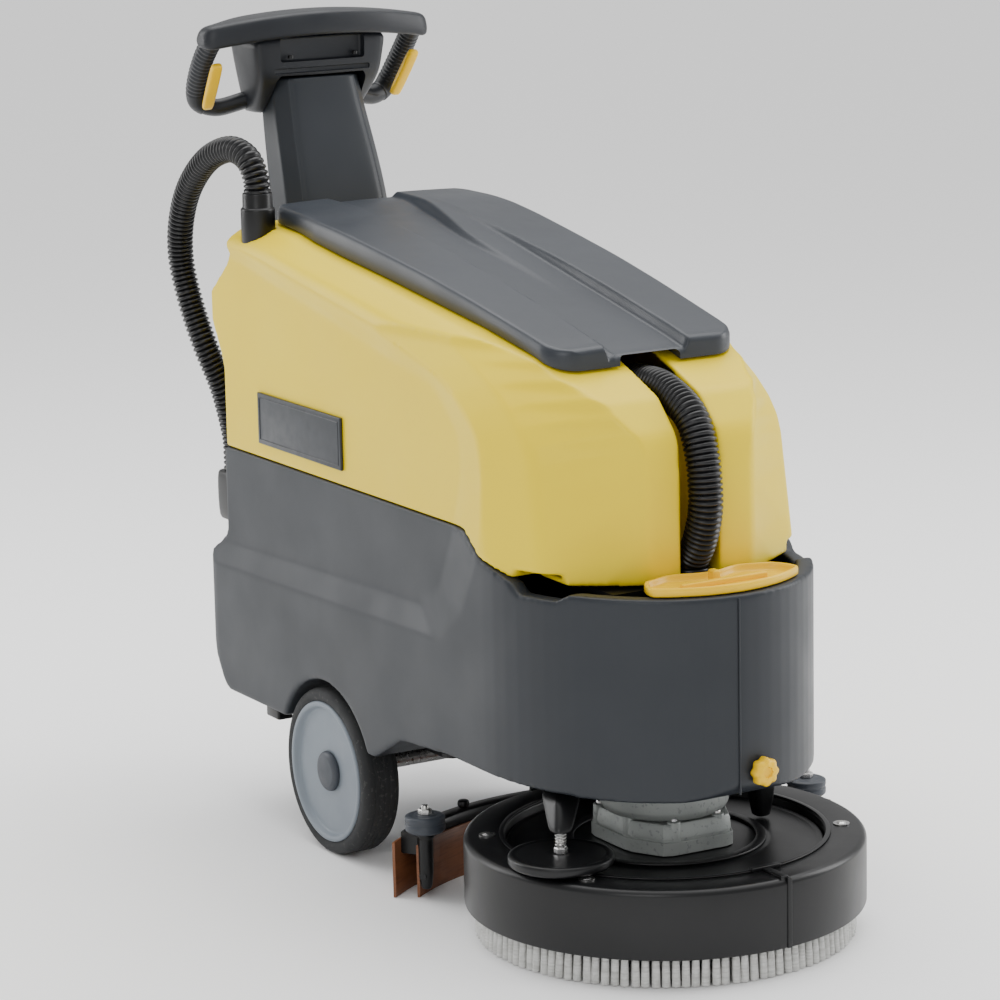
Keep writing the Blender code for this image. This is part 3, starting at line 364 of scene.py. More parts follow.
LID_TOP = [(-0.690, 0.8005), (-0.600, 0.7985), (-0.500, 0.787), (-0.400, 0.772), (-0.300, 0.756),
           (-0.200, 0.737),
           (-0.100, 0.716), (-0.040, 0.703), (-0.010, 0.694)]
LID_REST = [(-0.690, 0.7775), (-0.600, 0.7715), (-0.500, 0.7550), (-0.400, 0.7415), (-0.283, 0.7240),
            (-0.170, 0.7070), (-0.061, 0.6860), (-0.010, 0.6680)]


def along(line, x):
    """The height of a polyline (x, z) at x, softened over a short stretch so that its corners don't show."""
    def plain(at):
        if at <= line[0][0]:
            return line[0][1]
        for (x0, z0), (x1, z1) in zip(line, line[1:]):
            if at <= x1:
                return z0 + (z1 - z0) * (at - x0) / (x1 - x0)
        return line[-1][1]
    return sum(plain(x + 0.012 * k) for k in (-2, -1, 0, 1, 2)) / 5


def step(value, start, width):
    """0 before start and 1 after start + width, with no corners."""
    t = min(max((value - start) / width, 0.0), 1.0)
    return t * t * (3 - 2 * t)


def lid_half_width(x):
    """Half the lid's width at x: nearly straight sides, rounded at both ends."""
    straight = 0.148 - 0.020 * max(0.0, (x + 0.56) / 0.50) - 0.06 * max(0.0, -0.56 - x)
    front, rear = -0.0185, -0.6895
    for end, radius, way in ((front, 0.036, -1), (rear, 0.026, 1)):
        inside = (x - end) * way
        if inside < radius:
            straight -= radius - math.sqrt(max(radius ** 2 - (radius - inside) ** 2, 0.0))
    return straight


def lid_height(x, y):
    """The lid's upper face: a sunk middle between two lobes, and the left step that splits in two."""
    top = along(LID_TOP, x)
    depth = 0.0062 + 0.0066 * step(x, -0.660, 0.070)
    blend_out = 1.0 - step(x, -0.655, 0.470)
    first = step(y, 0.002 + 0.030 * step(-x, 0.42, 0.23), 0.010)
    second = step(y, 0.0460, 0.009)
    left = first * blend_out + second * (1.0 - blend_out)
    right = step(-y, 0.0560, 0.005)
    bead = 0.0012 * math.exp(-((y + 0.0485) / 0.0022) ** 2)
    crown = 0.0035 * (1.0 - (abs(y) / 0.15) ** 2) - 0.0035
    return top - depth * (1.0 - max(left, right)) + bead + crown


def lid():
    """The lid's skin as a height field on a grid that follows its outline, with side walls below it."""
    stations, columns = 160, 120
    rows = []
    bm = bmesh.new()
    for i in range(stations + 1):
        x = -0.6895 + 0.671 * (1 - math.cos(math.pi * i / stations)) / 2
        half = lid_half_width(x)
        rest = along(LID_REST, x) + 0.0004
        row = [bm.verts.new(place(x, -half * 0.995, rest)), bm.verts.new(place(x, -half, rest + 0.002))]
        for k in range(columns + 1):
            y = half * (2 * k / columns - 1)
            edge = max(0.0, abs(y) - (half - 0.007))
            ends = max(0.0, x + 0.0185 + 0.007, -0.6895 + 0.007 - x)
            drop = 0.007 - math.sqrt(max(0.007 ** 2 - min(edge, 0.007) ** 2, 0.0))
            drop = max(drop, 0.007 - math.sqrt(max(0.007 ** 2 - min(ends, 0.007) ** 2, 0.0)))
            row.append(bm.verts.new(place(x, y, lid_height(x, y) - drop)))
        row += [bm.verts.new(place(x, half, rest + 0.002)), bm.verts.new(place(x, half * 0.995, rest))]
        rows.append(row)
    for row, after in zip(rows, rows[1:]):
        for k in range(len(row)):
            j = (k + 1) % len(row)
            bm.faces.new((row[k], after[k], after[j], row[j]))
    bm.faces.new(rows[0])
    bm.faces.new(rows[-1])
    bmesh.ops.remove_doubles(bm, verts=bm.verts, dist=0.00002)
    bmesh.ops.recalc_face_normals(bm, faces=bm.faces)
    mesh = bpy.data.meshes.new("lid_skin")
    bm.to_mesh(mesh)
    bm.free()
    obj = link("lid_skin", mesh)
    throat = block("throat_cutter", (-0.062, -0.041, 0.60), (0.05, 0.041, 0.6845), 0.006)
    baked(obj, [("BOOLEAN", {"operation": "DIFFERENCE", "object": throat})])
    bpy.data.objects.remove(throat)
    finish(obj, "grey_lid", "lid", "lid", sharp=50.0)


def tanks():
    moulded("lower_body_skin", "lower_tank", "grey_body", "machine", 0.0030, 7)
    moulded("recovery_tank_skin", "recovery_tank", "yellow_tank", "machine", 0.0030, 8)


def body_seams():
    """The mould's parting line down the nose."""
    x = 0.1752
    line = [place(x, -0.0105, 0.205 + 0.228 * i / 20) for i in range(21)]
    finish(swept("nose_parting_line", line, [0.0012] * len(line), 10), "grey_body", "machine")


def badge():
    """A plain raised plate on each flank, with a bevelled face and a thin raised border."""
    for side, word in SIDES:
        low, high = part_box(f"badge_plate_{word}")
        middle, size = (low + high) / 2 - ORIGIN, high - low
        plate = block(f"badge_{word}", middle - size / 2, middle + size / 2, 0.0014)
        finish(plate, "badge", "machine", f"badge_plate_{word}")
        face = middle.y + side * size.y / 2
        corners = [(sx * (size.x / 2 - 0.006), sz * (size.z / 2 - 0.006)) for sx, sz in
                   ((-1, -1), (1, -1), (1, 1), (-1, 1), (-1, -1))]
        border = []
        for (x0, z0), (x1, z1) in zip(corners, corners[1:]):
            border += [place(middle.x + x0 + (x1 - x0) * k / 8, face, middle.z + z0 + (z1 - z0) * k / 8)
                       for k in range(8)]
        border.append(border[0])
        finish(swept(f"badge_border_{word}", border, [0.0007] * len(border), 8), "badge", "machine")


def cap_outline(inset):
    """The cap from above: the nose's ellipse in front, a waved rear edge, and blunt ends."""
    reach = 0.098
    front = []
    for k in range(49):
        y = -reach + 2 * reach * k / 48
        front.append(Vector((-0.070 + (0.245 - inset) * math.sqrt(1 - (y / (0.200 - inset)) ** 2), y)))
    left_end = [Vector((0.1300, 0.1000)), Vector((0.1200, 0.0985)), Vector((0.1080, 0.0935)),
                Vector((0.0980, 0.0860))]
    rear = []
    for k in range(41):
        y = 0.0780 - 0.1560 * k / 40
        hump = math.exp(-((abs(y) - 0.048) / 0.026) ** 2)
        rear.append(Vector((0.0990 - 0.0130 * hump, y)))
    right_end = [Vector((p.x, -p.y)) for p in reversed(left_end)]
    return front + left_end + rear + right_end


def filler_cap():
    """A dish that follows the nose, with a rolled rim, a tab for a finger and a rib across its floor."""
    outline = cap_outline(0.007)
    centre = sum(outline, Vector((0.0, 0.0))) / len(outline)
    half = Vector((0.042, 0.100))

    def ring(distance, z):
        points = []
        for p in outline:
            away = p - centre
            shrunk = Vector((away.x * (1 - distance / half.x), away.y * (1 - distance / half.y)))
            points.append(place(*(centre + shrunk), z))
        return points

    levels = [(0.0020, 0.4379), (0.0, 0.4395), (0.0, 0.4468), (0.0008, 0.4482), (0.0022, 0.4486),
              (0.0034, 0.4478),
              (0.0042, 0.4450), (0.0056, 0.4412), (0.0085, 0.4398)]
    dish = loft("cap_dish", [ring(d, z) for d, z in levels], 0)
    finish(dish, "yellow_control", "filler_cap", "filler_cap", sharp=60.0)
    rib = block("cap_rib", (0.122, -0.056, 0.4385), (0.130, 0.060, 0.4462), 0.0020)
    finish(rib, "yellow_control", "filler_cap")
    tab = block("cap_tab", (0.1080, -0.0085, 0.4385), (0.1220, 0.0015, 0.4545), 0.0028)
    finish(tab, "yellow_control", "filler_cap")


# ---- hoses -------------------------------------------------------------------------------------------------

FRONT_HOSE_ROUTE = [
    (-0.056, 0.0, 0.647), (-0.001, 0.0, 0.648), (0.045, 0.0, 0.634), (0.071, 0.0, 0.616), (0.085, 0.0, 0.587),
    (0.092, 0.0, 0.556), (0.093, 0.0, 0.519), (0.082, 0.0, 0.484), (0.068, 0.0, 0.462),
    (0.0620, 0.0, 0.4560), (0.0615, 0.0, 0.4500),
]
DRAIN_HOSE_ROUTE = [
    (-0.668, -0.170, 0.8100), (-0.668, -0.171, 0.835), (-0.682, -0.175, 0.860), (-0.718, -0.181, 0.869),
    (-0.770, -0.187, 0.852), (-0.826, -0.187, 0.812), (-0.860, -0.185, 0.764), (-0.874, -0.181, 0.712),
    (-0.864, -0.175, 0.657), (-0.844, -0.166, 0.600), (-0.831, -0.148, 0.540), (-0.830, -0.134, 0.480),
    (-0.830, -0.132, 0.450), (-0.830, -0.132, 0.4303),
]


def corrugated(name, route, radius, pitch, depth, node):
    """A ribbed hose: round ridges with narrow valleys between them."""
    per_rib = 6
    points = smooth_route([place(*p) for p in route], pitch / per_rib)
    shape = (0.0, 0.45, 0.92, 1.0, 0.92, 0.45)
    radii = [radius - depth * (1 - shape[i % per_rib]) for i in range(len(points))]
    finish(swept(name, points, radii, 32), "hose", "machine", node, sharp=75.0)


def hoses():
    corrugated("front_hose_ribs", FRONT_HOSE_ROUTE, 0.0203, 0.0062, 0.0030, "front_hose")
    corrugated("drain_hose_ribs", DRAIN_HOSE_ROUTE, 0.0172, 0.0068, 0.0032, "drain_hose")
    top = place(*DRAIN_HOSE_ROUTE[0])
    cuff = softened([(0.0150, -0.0600), (0.0218, -0.0600), (0.0218, -0.0130), (0.0210, -0.0115),
                     (0.0192, -0.0105),
                     (0.0190, 0.0070), (0.0180, 0.0080), (0.0150, 0.0080)], 0.0008)
    finish(lathe("drain_cuff", cuff, top), "black_plastic", "machine", "hose_cuff")
    collar = softened([(0.0170, 0.4400), (0.0218, 0.4400), (0.0222, 0.4445), (0.0212, 0.4475),
                       (0.0190, 0.4475)],
                      0.0008)
    finish(lathe("front_collar", collar, place(0.0615)), "black_plastic", "machine")
    low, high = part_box("drain_end_holder")
    x, y = DRAIN_HOSE_ROUTE[-1][:2]
    sections = [rounded_ring((x, y), 0.0215 - inset, 0.0215 - inset, 0.008, z) for z, inset in
                ((0.3625, 0.004), (0.3650, 0.001), (0.3900, 0.0), (0.4230, 0.0), (0.4290, 0.0020),
                 (0.4292, 0.005))]
    finish(loft("hose_end_socket", sections, 1), "black_plastic", "machine", "drain_end_holder")
    arm = block("hose_end_arm", (x + 0.004, y - 0.012, 0.380), (-0.7530, y + 0.012, 0.412), 0.004)
    finish(arm, "black_plastic", "machine")


# ---- handle and column -------------------------------------------------------------------------------------

COLUMN = ((0.3650, -0.772, 0.036, 0.077), (0.560, -0.772, 0.036, 0.077), (0.700, -0.772, 0.036, 0.077),
          (0.790, -0.786, 0.037, 0.076), (0.892, -0.822, 0.033, 0.068), (0.944, -0.835, 0.030, 0.064))


def column():
    """The post: a broad flat face between chamfered edges, with a fine crease along each."""
    sections = []
    stations = [COLUMN[0], (0.3675, *COLUMN[0][1:]), *COLUMN[1:-1], (0.930, -0.8315, 0.031, 0.0648),
                (0.9420, -0.8345, 0.030, 0.0641), COLUMN[-1]]
    for z, x, depth, half in stations:
        front, back = x + depth, x - depth
        outline = [(back, -half + 0.007), (back + 0.0004, -half + 0.0066), (back + 0.0066, -half + 0.0004),
                   (back + 0.007, -half), (front - 0.0225, -half), (front - 0.0215, -half + 0.0006),
                   (front - 0.0040, -half + 0.0150), (front - 0.0032, -half + 0.0160),
                   (front - 0.0034, -half + 0.0185), (front - 0.0014, -half + 0.0215),
                   (front, -half + 0.0290)]
        mirrored = [(px, -py) for px, py in reversed(outline)]
        sections.append([place(px, py, z) for px, py in outline + mirrored])
    finish(loft("column_skin", sections, 2), "grey_body", "machine", "column", sharp=60.0)
    cover = ((0.642, -0.8115, 0.0035, 0.050), (0.700, -0.8175, 0.009, 0.055), (0.790, -0.8395, 0.016, 0.055),
             (0.850, -0.8640, 0.020, 0.050), (0.883, -0.8710, 0.015, 0.046))
    sections = [rounded_ring((x, 0), depth, half, min(depth * 0.8, 0.008), z) for z, x, depth, half in cover]
    finish(loft("column_back_cover", sections, 1), "black_plastic", "machine", "column_cover")


def bar_point(y, share):
    """The top bar's front, rear, lower and upper limits at y. share is 0 at the middle and 1 at the end."""
    reach = 0.165
    t = (y / reach) ** 2
    front = -0.781 - 0.026 * t
    rear = -0.868 + 0.022 * step(share, 0.55, 0.40)
    low = 0.9995 - 0.0150 * t
    high = 1.0310 - 0.0165 * t
    return front, rear, low, high


def handle_bar():
    """The curved bar over the head: rounded front edge, slightly hollow underside, soft ends."""
    sections = []
    count = 40
    for i in range(count + 1):
        side = 2 * i / count - 1
        y = 0.1655 * math.sin(side * math.pi / 2)
        end = max(0.0, abs(y) - 0.152) / 0.0135
        shrink = 1 - math.sqrt(max(1 - end ** 2, 0.0))
        front, rear, low, high = bar_point(y, abs(y) / 0.165)
        front, rear = front - 0.010 * shrink, rear + 0.012 * shrink
        low, high = low + 0.008 * shrink, high - 0.010 * shrink
        mid = (front + rear) / 2
        outline = [(front - 0.0012, low + 0.0014), (front, low + 0.0050), (front, (low + high) / 2),
                   (front - 0.0020, high - 0.0055), (front - 0.0042, high - 0.0016), (front - 0.0100, high),
                   (mid, high + 0.0006), (rear + 0.008, high - 0.0015),
                   (rear, high - 0.008), (rear, low + 0.006), (rear + 0.006, low), (mid, low + 0.001),
                   (front - 0.010, low - 0.0002), (front - 0.0045, low)]
        sections.append([place(x, y, z) for x, z in outline])
    finish(loft("handle_bar", sections, 2), "grip_plastic", "machine", sharp=None)


def head():
    """The neck under the bar: sloping cheeks, a sunk front with two ledges, and a skirt round the column."""
    sections = []
    for z, front, rear, half in ((0.8945, -0.846, -0.892, 0.080), (0.900, -0.838, -0.893, 0.081),
                                 (0.925, -0.816, -0.894, 0.086), (0.944, -0.802, -0.895, 0.090),
                                 (0.962, -0.801, -0.896, 0.093), (0.985, -0.800, -0.896, 0.097),
                                 (1.003, -0.800, -0.892, 0.099)):
        corner = 0.012
        outline = [(rear, -half + corner), (rear + corner, -half), (front - corner, -half),
                   (front - 0.003, -half + 0.003), (front, -half + corner)]
        outline += [(px, -py) for px, py in reversed(outline)]
        sections.append([place(px, py, z) for px, py in outline])
    neck = loft("head_neck", sections, 2)
    pocket = block("pocket_cutter", (-0.812, -0.062, 0.965), (-0.780, 0.062, 0.996), 0.004)
    slot_cut = block("ledge_cutter", (-0.8060, -0.070, 0.9500), (-0.780, 0.070, 0.9570), 0.002)
    socket = loft("socket_cutter", [rounded_ring((x, 0), depth + 0.002, half + 0.002, 0.008, z) for z, x,
                                    depth, half in
                                    ((0.870, -0.8145, 0.034, 0.0695), *COLUMN[4:],
                                     (0.947, -0.8355, 0.030, 0.064))],
                  0)
    cuts = [("BOOLEAN", {"operation": "DIFFERENCE", "object": cutter})
            for cutter in (pocket, slot_cut, socket)]
    baked(neck, cuts)
    for cutter in (pocket, slot_cut, socket):
        bpy.data.objects.remove(cutter)
    finish(neck, "grip_plastic", "machine", "handle_head", sharp=35.0)
    for n, y in enumerate((-0.045, 0.050)):
        screw = lathe(f"head_screw_{n + 1}", [(0.0, 0.0), (0.0032, 0.0), (0.0036, -0.0010), (0.0036, -0.0040),
                                              (0.0, -0.0040)], place(-0.806, y, 0.9735), 20)
        finish(screw, "black_plastic", "machine")


def grip(side, word):
    """The grip and lower arm of one side: a broad flattened tube with ridges across its outer face."""
    route = [(-0.824, side * 0.148, 1.000), (-0.848, side * 0.1495, 0.975), (-0.870, side * 0.148, 0.949),
             (-0.887, side * 0.144, 0.925), (-0.892, side * 0.136, 0.910), (-0.884, side * 0.115, 0.904),
             (-0.874, side * 0.085, 0.911), (-0.868, side * 0.060, 0.918)]
    spacing = 0.0010
    points = smooth_route([place(*p) for p in route], spacing)
    radii = []
    for i, point in enumerate(points):
        height = point.z - ORIGIN.z
        ribbed = height > 0.926 and height < 0.992 and i < len(points) * 0.6
        ridge = 0.0011 * (0.5 - 0.5 * math.cos(2 * math.pi * i * spacing / 0.0062)) if ribbed else 0.0
        radii.append(0.0142 - ridge if i < len(points) * 0.62 else 0.0130)
    finish(swept(f"grip_{word}", points, radii, 28, 0.86), "grip_plastic", "machine", sharp=None)


def trigger(side, word):
    """A squeeze lever with a rounded back, in place of the plain CAD bar."""
    low, high = place(-0.8640, side * 0.140, 0.906), place(-0.8170, side * 0.146, 0.967)
    along_lever = (high - low).normalized()
    sections = []
    for share, half, thick in ((0.0, 0.0060, 0.0038), (0.03, 0.0076, 0.0047), (0.3, 0.0082, 0.0052),
                               (0.85, 0.0082, 0.0052), (0.97, 0.0074, 0.0046), (1.0, 0.0056, 0.0034)):
        centre = low.lerp(high, share)
        across = Vector((0, 1, 0)).cross(along_lever).normalized()
        over = along_lever.cross(across).normalized()
        sections.append([centre + over * half * math.copysign(abs(math.cos(a)) ** 0.6, math.cos(a))
                         + across * thick * math.copysign(abs(math.sin(a)) ** 0.6, math.sin(a))
                         for a in (2 * math.pi * (k + 0.5) / 16 for k in range(16))])
    name = f"trigger_{word}"
    finish(loft(f"{name}_lever", sections, 1), "yellow_control", name, name, sharp=60.0)


def panel():
    """The rear panel's rim and the collars round its two buttons."""
    NODES["control_panel"].data.materials[0] = MATERIALS["black_plastic"]
    for word, y in (("brush", 0.030), ("vacuum", -0.030)):
        ring = softened([(0.0106, 0.0), (0.0135, 0.0), (0.0135, 0.0022), (0.0106, 0.0022)], 0.0005)
        collar = lathe(f"{word}_button_collar", ring, Vector(), 40)
        collar.data.transform(Matrix.Translation(place(-0.9061, y, 0.960)) @ Matrix.Rotation(-math.pi / 2, 4,
                                                                                             "Y"))
        finish(collar, "black_plastic", "machine")


# ---- wheels and underside ----------------------------------------------------------------------------------

def wheels():
    """Solid tyres with a fine tread line, moulded hubs with a sunk face and a small cap."""
    x, out, radius, width, rim = -0.481, 0.1975, 0.1063, 0.052, 0.0895
    for side, word in SIDES:
        at = place(x, side * out, radius)
        body = f"wheel_{word}"
        tyre = [(rim + 0.0003, -0.003), (0.0945, -0.0012), (0.1000, -0.0016), (0.1040, -0.0040),
                (0.1058, -0.0080)]
        for k in range(5):
            middle = -0.0125 - 0.0068 * k
            tyre += [(radius, middle + 0.0026), (radius, middle - 0.0026), (radius - 0.0009, middle - 0.0031),
                     (radius - 0.0009, middle - 0.0037)]
        tyre += [(0.1052, -width + 0.006), (0.1020, -width + 0.001), (rim + 0.0003, -width)]
        finish(lathe(f"tyre_{word}_skin", tyre, at, 128, "Y", side=side), "tyre_rubber", body, f"tyre_{word}",
               sharp=50.0)
        hub = softened([(0.0115, -0.0095), (0.0300, -0.0088), (0.0780, -0.0078), (0.0800, -0.0070),
                        (0.0822, -0.0020),
                        (0.0845, 0.0), (rim, -0.0004), (rim, -width), (0.080, -width), (0.078, -0.016),
                        (0.026, -0.016), (0.026, -0.045), (0.0115, -0.045)], 0.0012)
        finish(lathe(f"hub_{word}_skin", hub, at, 128, "Y", side=side), "wheel_grey", body,
               f"wheel_hub_{word}",
               sharp=60.0)
        cap = softened([(0.0, -0.0005), (0.0195, -0.0008), (0.0245, -0.0030), (0.0256, -0.0060),
                        (0.0256, -0.0086),
                        (0.0, -0.0086)], 0.0010)
        finish(lathe(f"cap_{word}_skin", cap, at, 64, "Y", side=side), "hub_cap", body, f"hub_cap_{word}",
               sharp=60.0)


def underside():
    """A small black foot at the rear of the chassis."""
    foot = block("rear_foot", (-0.652, -0.190, 0.1405), (-0.618, -0.168, 0.1590), 0.003)
    finish(foot, "black_plastic", "machine")


# ---- scrub deck --------------------------------------------------------------------------------------------

def deck():
    """The skirt's rolled edge, its sunk top with a lip, the seam and clip on its side, and the washers."""
    skirt = softened([(0.1880, 0.1180), (0.2320, 0.1180), (0.2370, 0.1130), (0.2370, 0.0360),
                      (0.2325, 0.0360),
                      (0.2325, 0.1130), (0.1920, 0.1130), (0.1920, 0.1000), (0.1780, 0.1000),
                      (0.1780, 0.1040),
                      (0.1880, 0.1040)], 0.0016)
    finish(lathe("deck_skirt", skirt, place(0), 160), "black_plastic", "machine", "deck_cover", sharp=60.0)
    plate = softened([(0.0, 0.1100), (0.1180, 0.1100), (0.1240, 0.1085), (0.1800, 0.1072), (0.1860, 0.1090),
                      (0.1870, 0.1043), (0.050, 0.1043), (0.050, 0.1000), (0.0, 0.1000)], 0.0012)
    finish(lathe("deck_floor", plate, place(0), 128), "black_plastic", "machine", "deck_plate", sharp=60.0)
    lip = softened([(0.1885, 0.1181), (0.1945, 0.1181), (0.1950, 0.1196), (0.1890, 0.1200)], 0.0005)
    finish(lathe("deck_inner_lip", lip, place(0), 128), "black_plastic", "machine")
    seam = block("deck_seam", (-0.0030, -0.2382, 0.0362), (0.0030, -0.2325, 0.1186), 0.0008)
    seam.data.transform(Matrix.Translation(ORIGIN) @ Matrix.Rotation(math.radians(93.3), 4, "Z")
                        @ Matrix.Translation(-ORIGIN))
    finish(seam, "black_plastic", "machine")
    for name, low, high in (("deck_clip", (0.186, 0.004, 0.1150), (0.2340, 0.0145, 0.1210)),
                            ("deck_clip_pin", (0.189, -0.010, 0.1172), (0.197, 0.030, 0.1228))):
        finish(block(name, low, high, 0.0012), "black_plastic", "machine")
    for n in range(4):
        low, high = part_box(f"deck_screw_{n + 1}")
        at = Vector(((low.x + high.x) / 2, (low.y + high.y) / 2, low.z))
        washer = [(0.0060, 0.0), (0.0098, 0.0), (0.0098, 0.0010), (0.0060, 0.0012)]
        finish(lathe(f"deck_washer_{n + 1}", washer, at, 32), "steel", "machine")


def bristles():
    """Rows of flared tufts under the block. Each tuft leans a little its own way."""
    NODES["brush_block"].data.materials[0] = MATERIALS["black_plastic"]
    bm = bmesh.new()
    top, tip_low = 0.0540, 0.0005
    for row, (radius, count) in enumerate(((0.2175, 120), (0.2070, 114), (0.196, 92), (0.170, 80),
                                           (0.140, 64),
                                           (0.110, 52), (0.082, 40))):
        for n in range(count):
            turn = 2 * math.pi * (n + 0.5 * (row % 2)) / count
            lean, twist = random.uniform(-0.0008, 0.0008), random.uniform(-0.0012, 0.0012)
            sides = 6
            rings = []
            for share, spread in ((0.0, 0.0036), (0.30, 0.0042), (0.75, 0.0051), (1.0, 0.0054)):
                z = top + (tip_low + random.uniform(0, 0.0007) - top) * share
                reach = radius + 0.0022 * share + lean * share
                angle = turn + (twist * share) / radius
                centre = place(reach * math.cos(angle), reach * math.sin(angle), z)
                rings.append([bm.verts.new(centre + Vector((math.cos(a), math.sin(a), 0)) * spread)
                              for a in (2 * math.pi * k / sides + turn for k in range(sides))])
            for ring, after in zip(rings, rings[1:]):
                for k in range(sides):
                    bm.faces.new((ring[k], after[k], after[(k + 1) % sides], ring[(k + 1) % sides]))
            bm.faces.new(rings[0])
            bm.faces.new(rings[-1])
    bmesh.ops.recalc_face_normals(bm, faces=bm.faces)
    mesh = bpy.data.meshes.new("bristle_tufts")
    bm.to_mesh(mesh)
    bm.free()
    finish(link("bristle_tufts", mesh), "bristle", "brush", "bristles", sharp=70.0)


def drive():
    """The gear motor's drum with a rolled flange, and the stepped gearbox with lugs and bolts."""
    drum = softened([(0.0, 0.3400), (0.0580, 0.3400), (0.0640, 0.3300), (0.0640, 0.1900), (0.0740, 0.1860),
                     (0.0760, 0.1780), (0.0760, 0.1560), (0.0700, 0.1483), (0.0, 0.1483)], 0.0020)
    finish(lathe("motor_drum", drum, place(0), 96), "cast_metal", "machine", "gear_motor", sharp=60.0)
    outline = [(-0.082, -0.040), (-0.052, -0.070), (0.030, -0.070), (0.075, -0.045), (0.078, 0.045),
               (0.030, 0.070),
               (-0.052, 0.070), (-0.082, 0.040)]
    fine = []
    for (x0, y0), (x1, y1) in zip(outline, outline[1:] + outline[:1]):
        for share in (0.10, 0.30, 0.50, 0.70, 0.90):
            fine.append((x0 + (x1 - x0) * share, y0 + (y1 - y0) * share))
    levels = ((0.1106, 0.985), (0.1116, 1.0), (0.1262, 1.0), (0.1268, 0.99), (0.1269, 0.955), (0.1300, 0.955),
              (0.1301, 0.975), (0.1440, 0.955), (0.1472, 0.93))
    sections = [[place(x * scale, y * scale, z) for x, y in fine] for z, scale in levels]
    finish(loft("gearbox_skin", sections, 0), "cast_metal", "machine", "gearbox", sharp=30.0)
    for n, (x, y) in enumerate(((0.066, -0.030), (0.020, -0.061), (-0.045, -0.061), (0.066, 0.030),
                                (0.020, 0.061))):
        lug = lathe(f"gearbox_lug_{n + 1}",
                    softened([(0.0, 0.1110), (0.0085, 0.1110), (0.0080, 0.1500), (0.0, 0.1500)],
                                                     0.0010), place(x, y), 28)
        finish(lug, "cast_metal", "machine")
        bolt = lathe(f"gearbox_bolt_{n + 1}",
                     [(0.0, 0.1534), (0.0036, 0.1534), (0.0042, 0.1526), (0.0042, 0.1500),
                                               (0.0, 0.1500)], place(x, y), 6)
        finish(bolt, "steel", "machine")


def wall_roller():
    """The wall disc with a dished top, its bolt with nut and coil, and the tapered leg."""
    x, y = 0.056, -0.177
    disc = softened([(0.0055, 0.1345), (0.0160, 0.1352), (0.0520, 0.1340), (0.0560, 0.1352), (0.0600, 0.1340),
                     (0.0610, 0.1315), (0.0610, 0.1255), (0.0580, 0.1222), (0.0055, 0.1222)], 0.0009)
    finish(lathe("wall_disc", disc, place(x, y), 96), "black_plastic", "side_roller", "side_roller",
           sharp=60.0)
    nut = [(0.0, 0.1420), (0.0070, 0.1420), (0.0080, 0.1410), (0.0080, 0.1357), (0.0, 0.1357)]
    finish(lathe("wall_bolt_nut", nut, place(x, y), 6), "steel", "machine")
    turns = [place(x + 0.0056 * math.cos(a), y + 0.0056 * math.sin(a), 0.1425 + 0.0165 * k / 72)
             for k, a in ((k, 2 * math.pi * k / 16) for k in range(73))]
    finish(swept("wall_bolt_thread", turns, [0.0013] * len(turns), 8), "steel", "machine")
    shaft = [(0.0, 0.1590), (0.0052, 0.1590), (0.0052, 0.1222), (0.0, 0.1222)]
    finish(lathe("wall_bolt_shaft", shaft, place(x, y), 32), "steel", "machine", "roller_bolt")
    sections = [rounded_ring(at, half_x, half_y, corner, z) for z, at, half_x, half_y, corner in
                ((0.1594, (x, y), 0.009, 0.009, 0.006), (0.1610, (x, y), 0.0115, 0.0115, 0.007),
                 (0.1700, (0.048, -0.172), 0.0140, 0.0130, 0.007),
                 (0.1850, (0.032, -0.161), 0.0190, 0.0160, 0.008),
                 (0.1990, (0.018, -0.153), 0.0230, 0.0180, 0.008))]
    finish(loft("wall_leg", sections, 1), "black_plastic", "machine", "roller_leg", sharp=60.0)
    sections = [rounded_ring((-0.004, 0.140), half, half, 0.006, z) for z, half in
                ((0.1104, 0.0095), (0.1150, 0.0102), (0.1500, 0.0145), (0.1985, 0.0188))]
    finish(loft("left_leg", sections, 1), "black_plastic", "machine", "deck_leg", sharp=60.0)


# ---- squeegee ----------------------------------------------------------------------------------------------

def band(name, inner, outer, half_angle, low, high, steps=64, bevel=0.0008, wave=0.0):
    """A curved band behind the brush axis, between two radii and two heights."""
    bm = bmesh.new()
    rings = []
    for i in range(steps + 1):
        turn = math.pi - half_angle + 2 * half_angle * i / steps
        drift = wave * math.sin(turn * 9.0)
        section = [(inner + bevel, low), (outer - bevel, low), (outer + drift, low + bevel),
                   (outer, high - bevel),
                   (outer - bevel, high), (inner + bevel, high), (inner, high - bevel),
                   (inner + drift, low + bevel)]
        rings.append([bm.verts.new(swung((r * math.cos(turn), r * math.sin(turn), z))) for r, z in section])
    for ring, after in zip(rings, rings[1:]):
        for k in range(8):
            bm.faces.new((ring[k], after[k], after[(k + 1) % 8], ring[(k + 1) % 8]))
    bm.faces.new(rings[0])
    bm.faces.new(rings[-1])
    bmesh.ops.recalc_face_normals(bm, faces=bm.faces)
    mesh = bpy.data.meshes.new(name)
    bm.to_mesh(mesh)
    bm.free()
    return link(name, mesh)


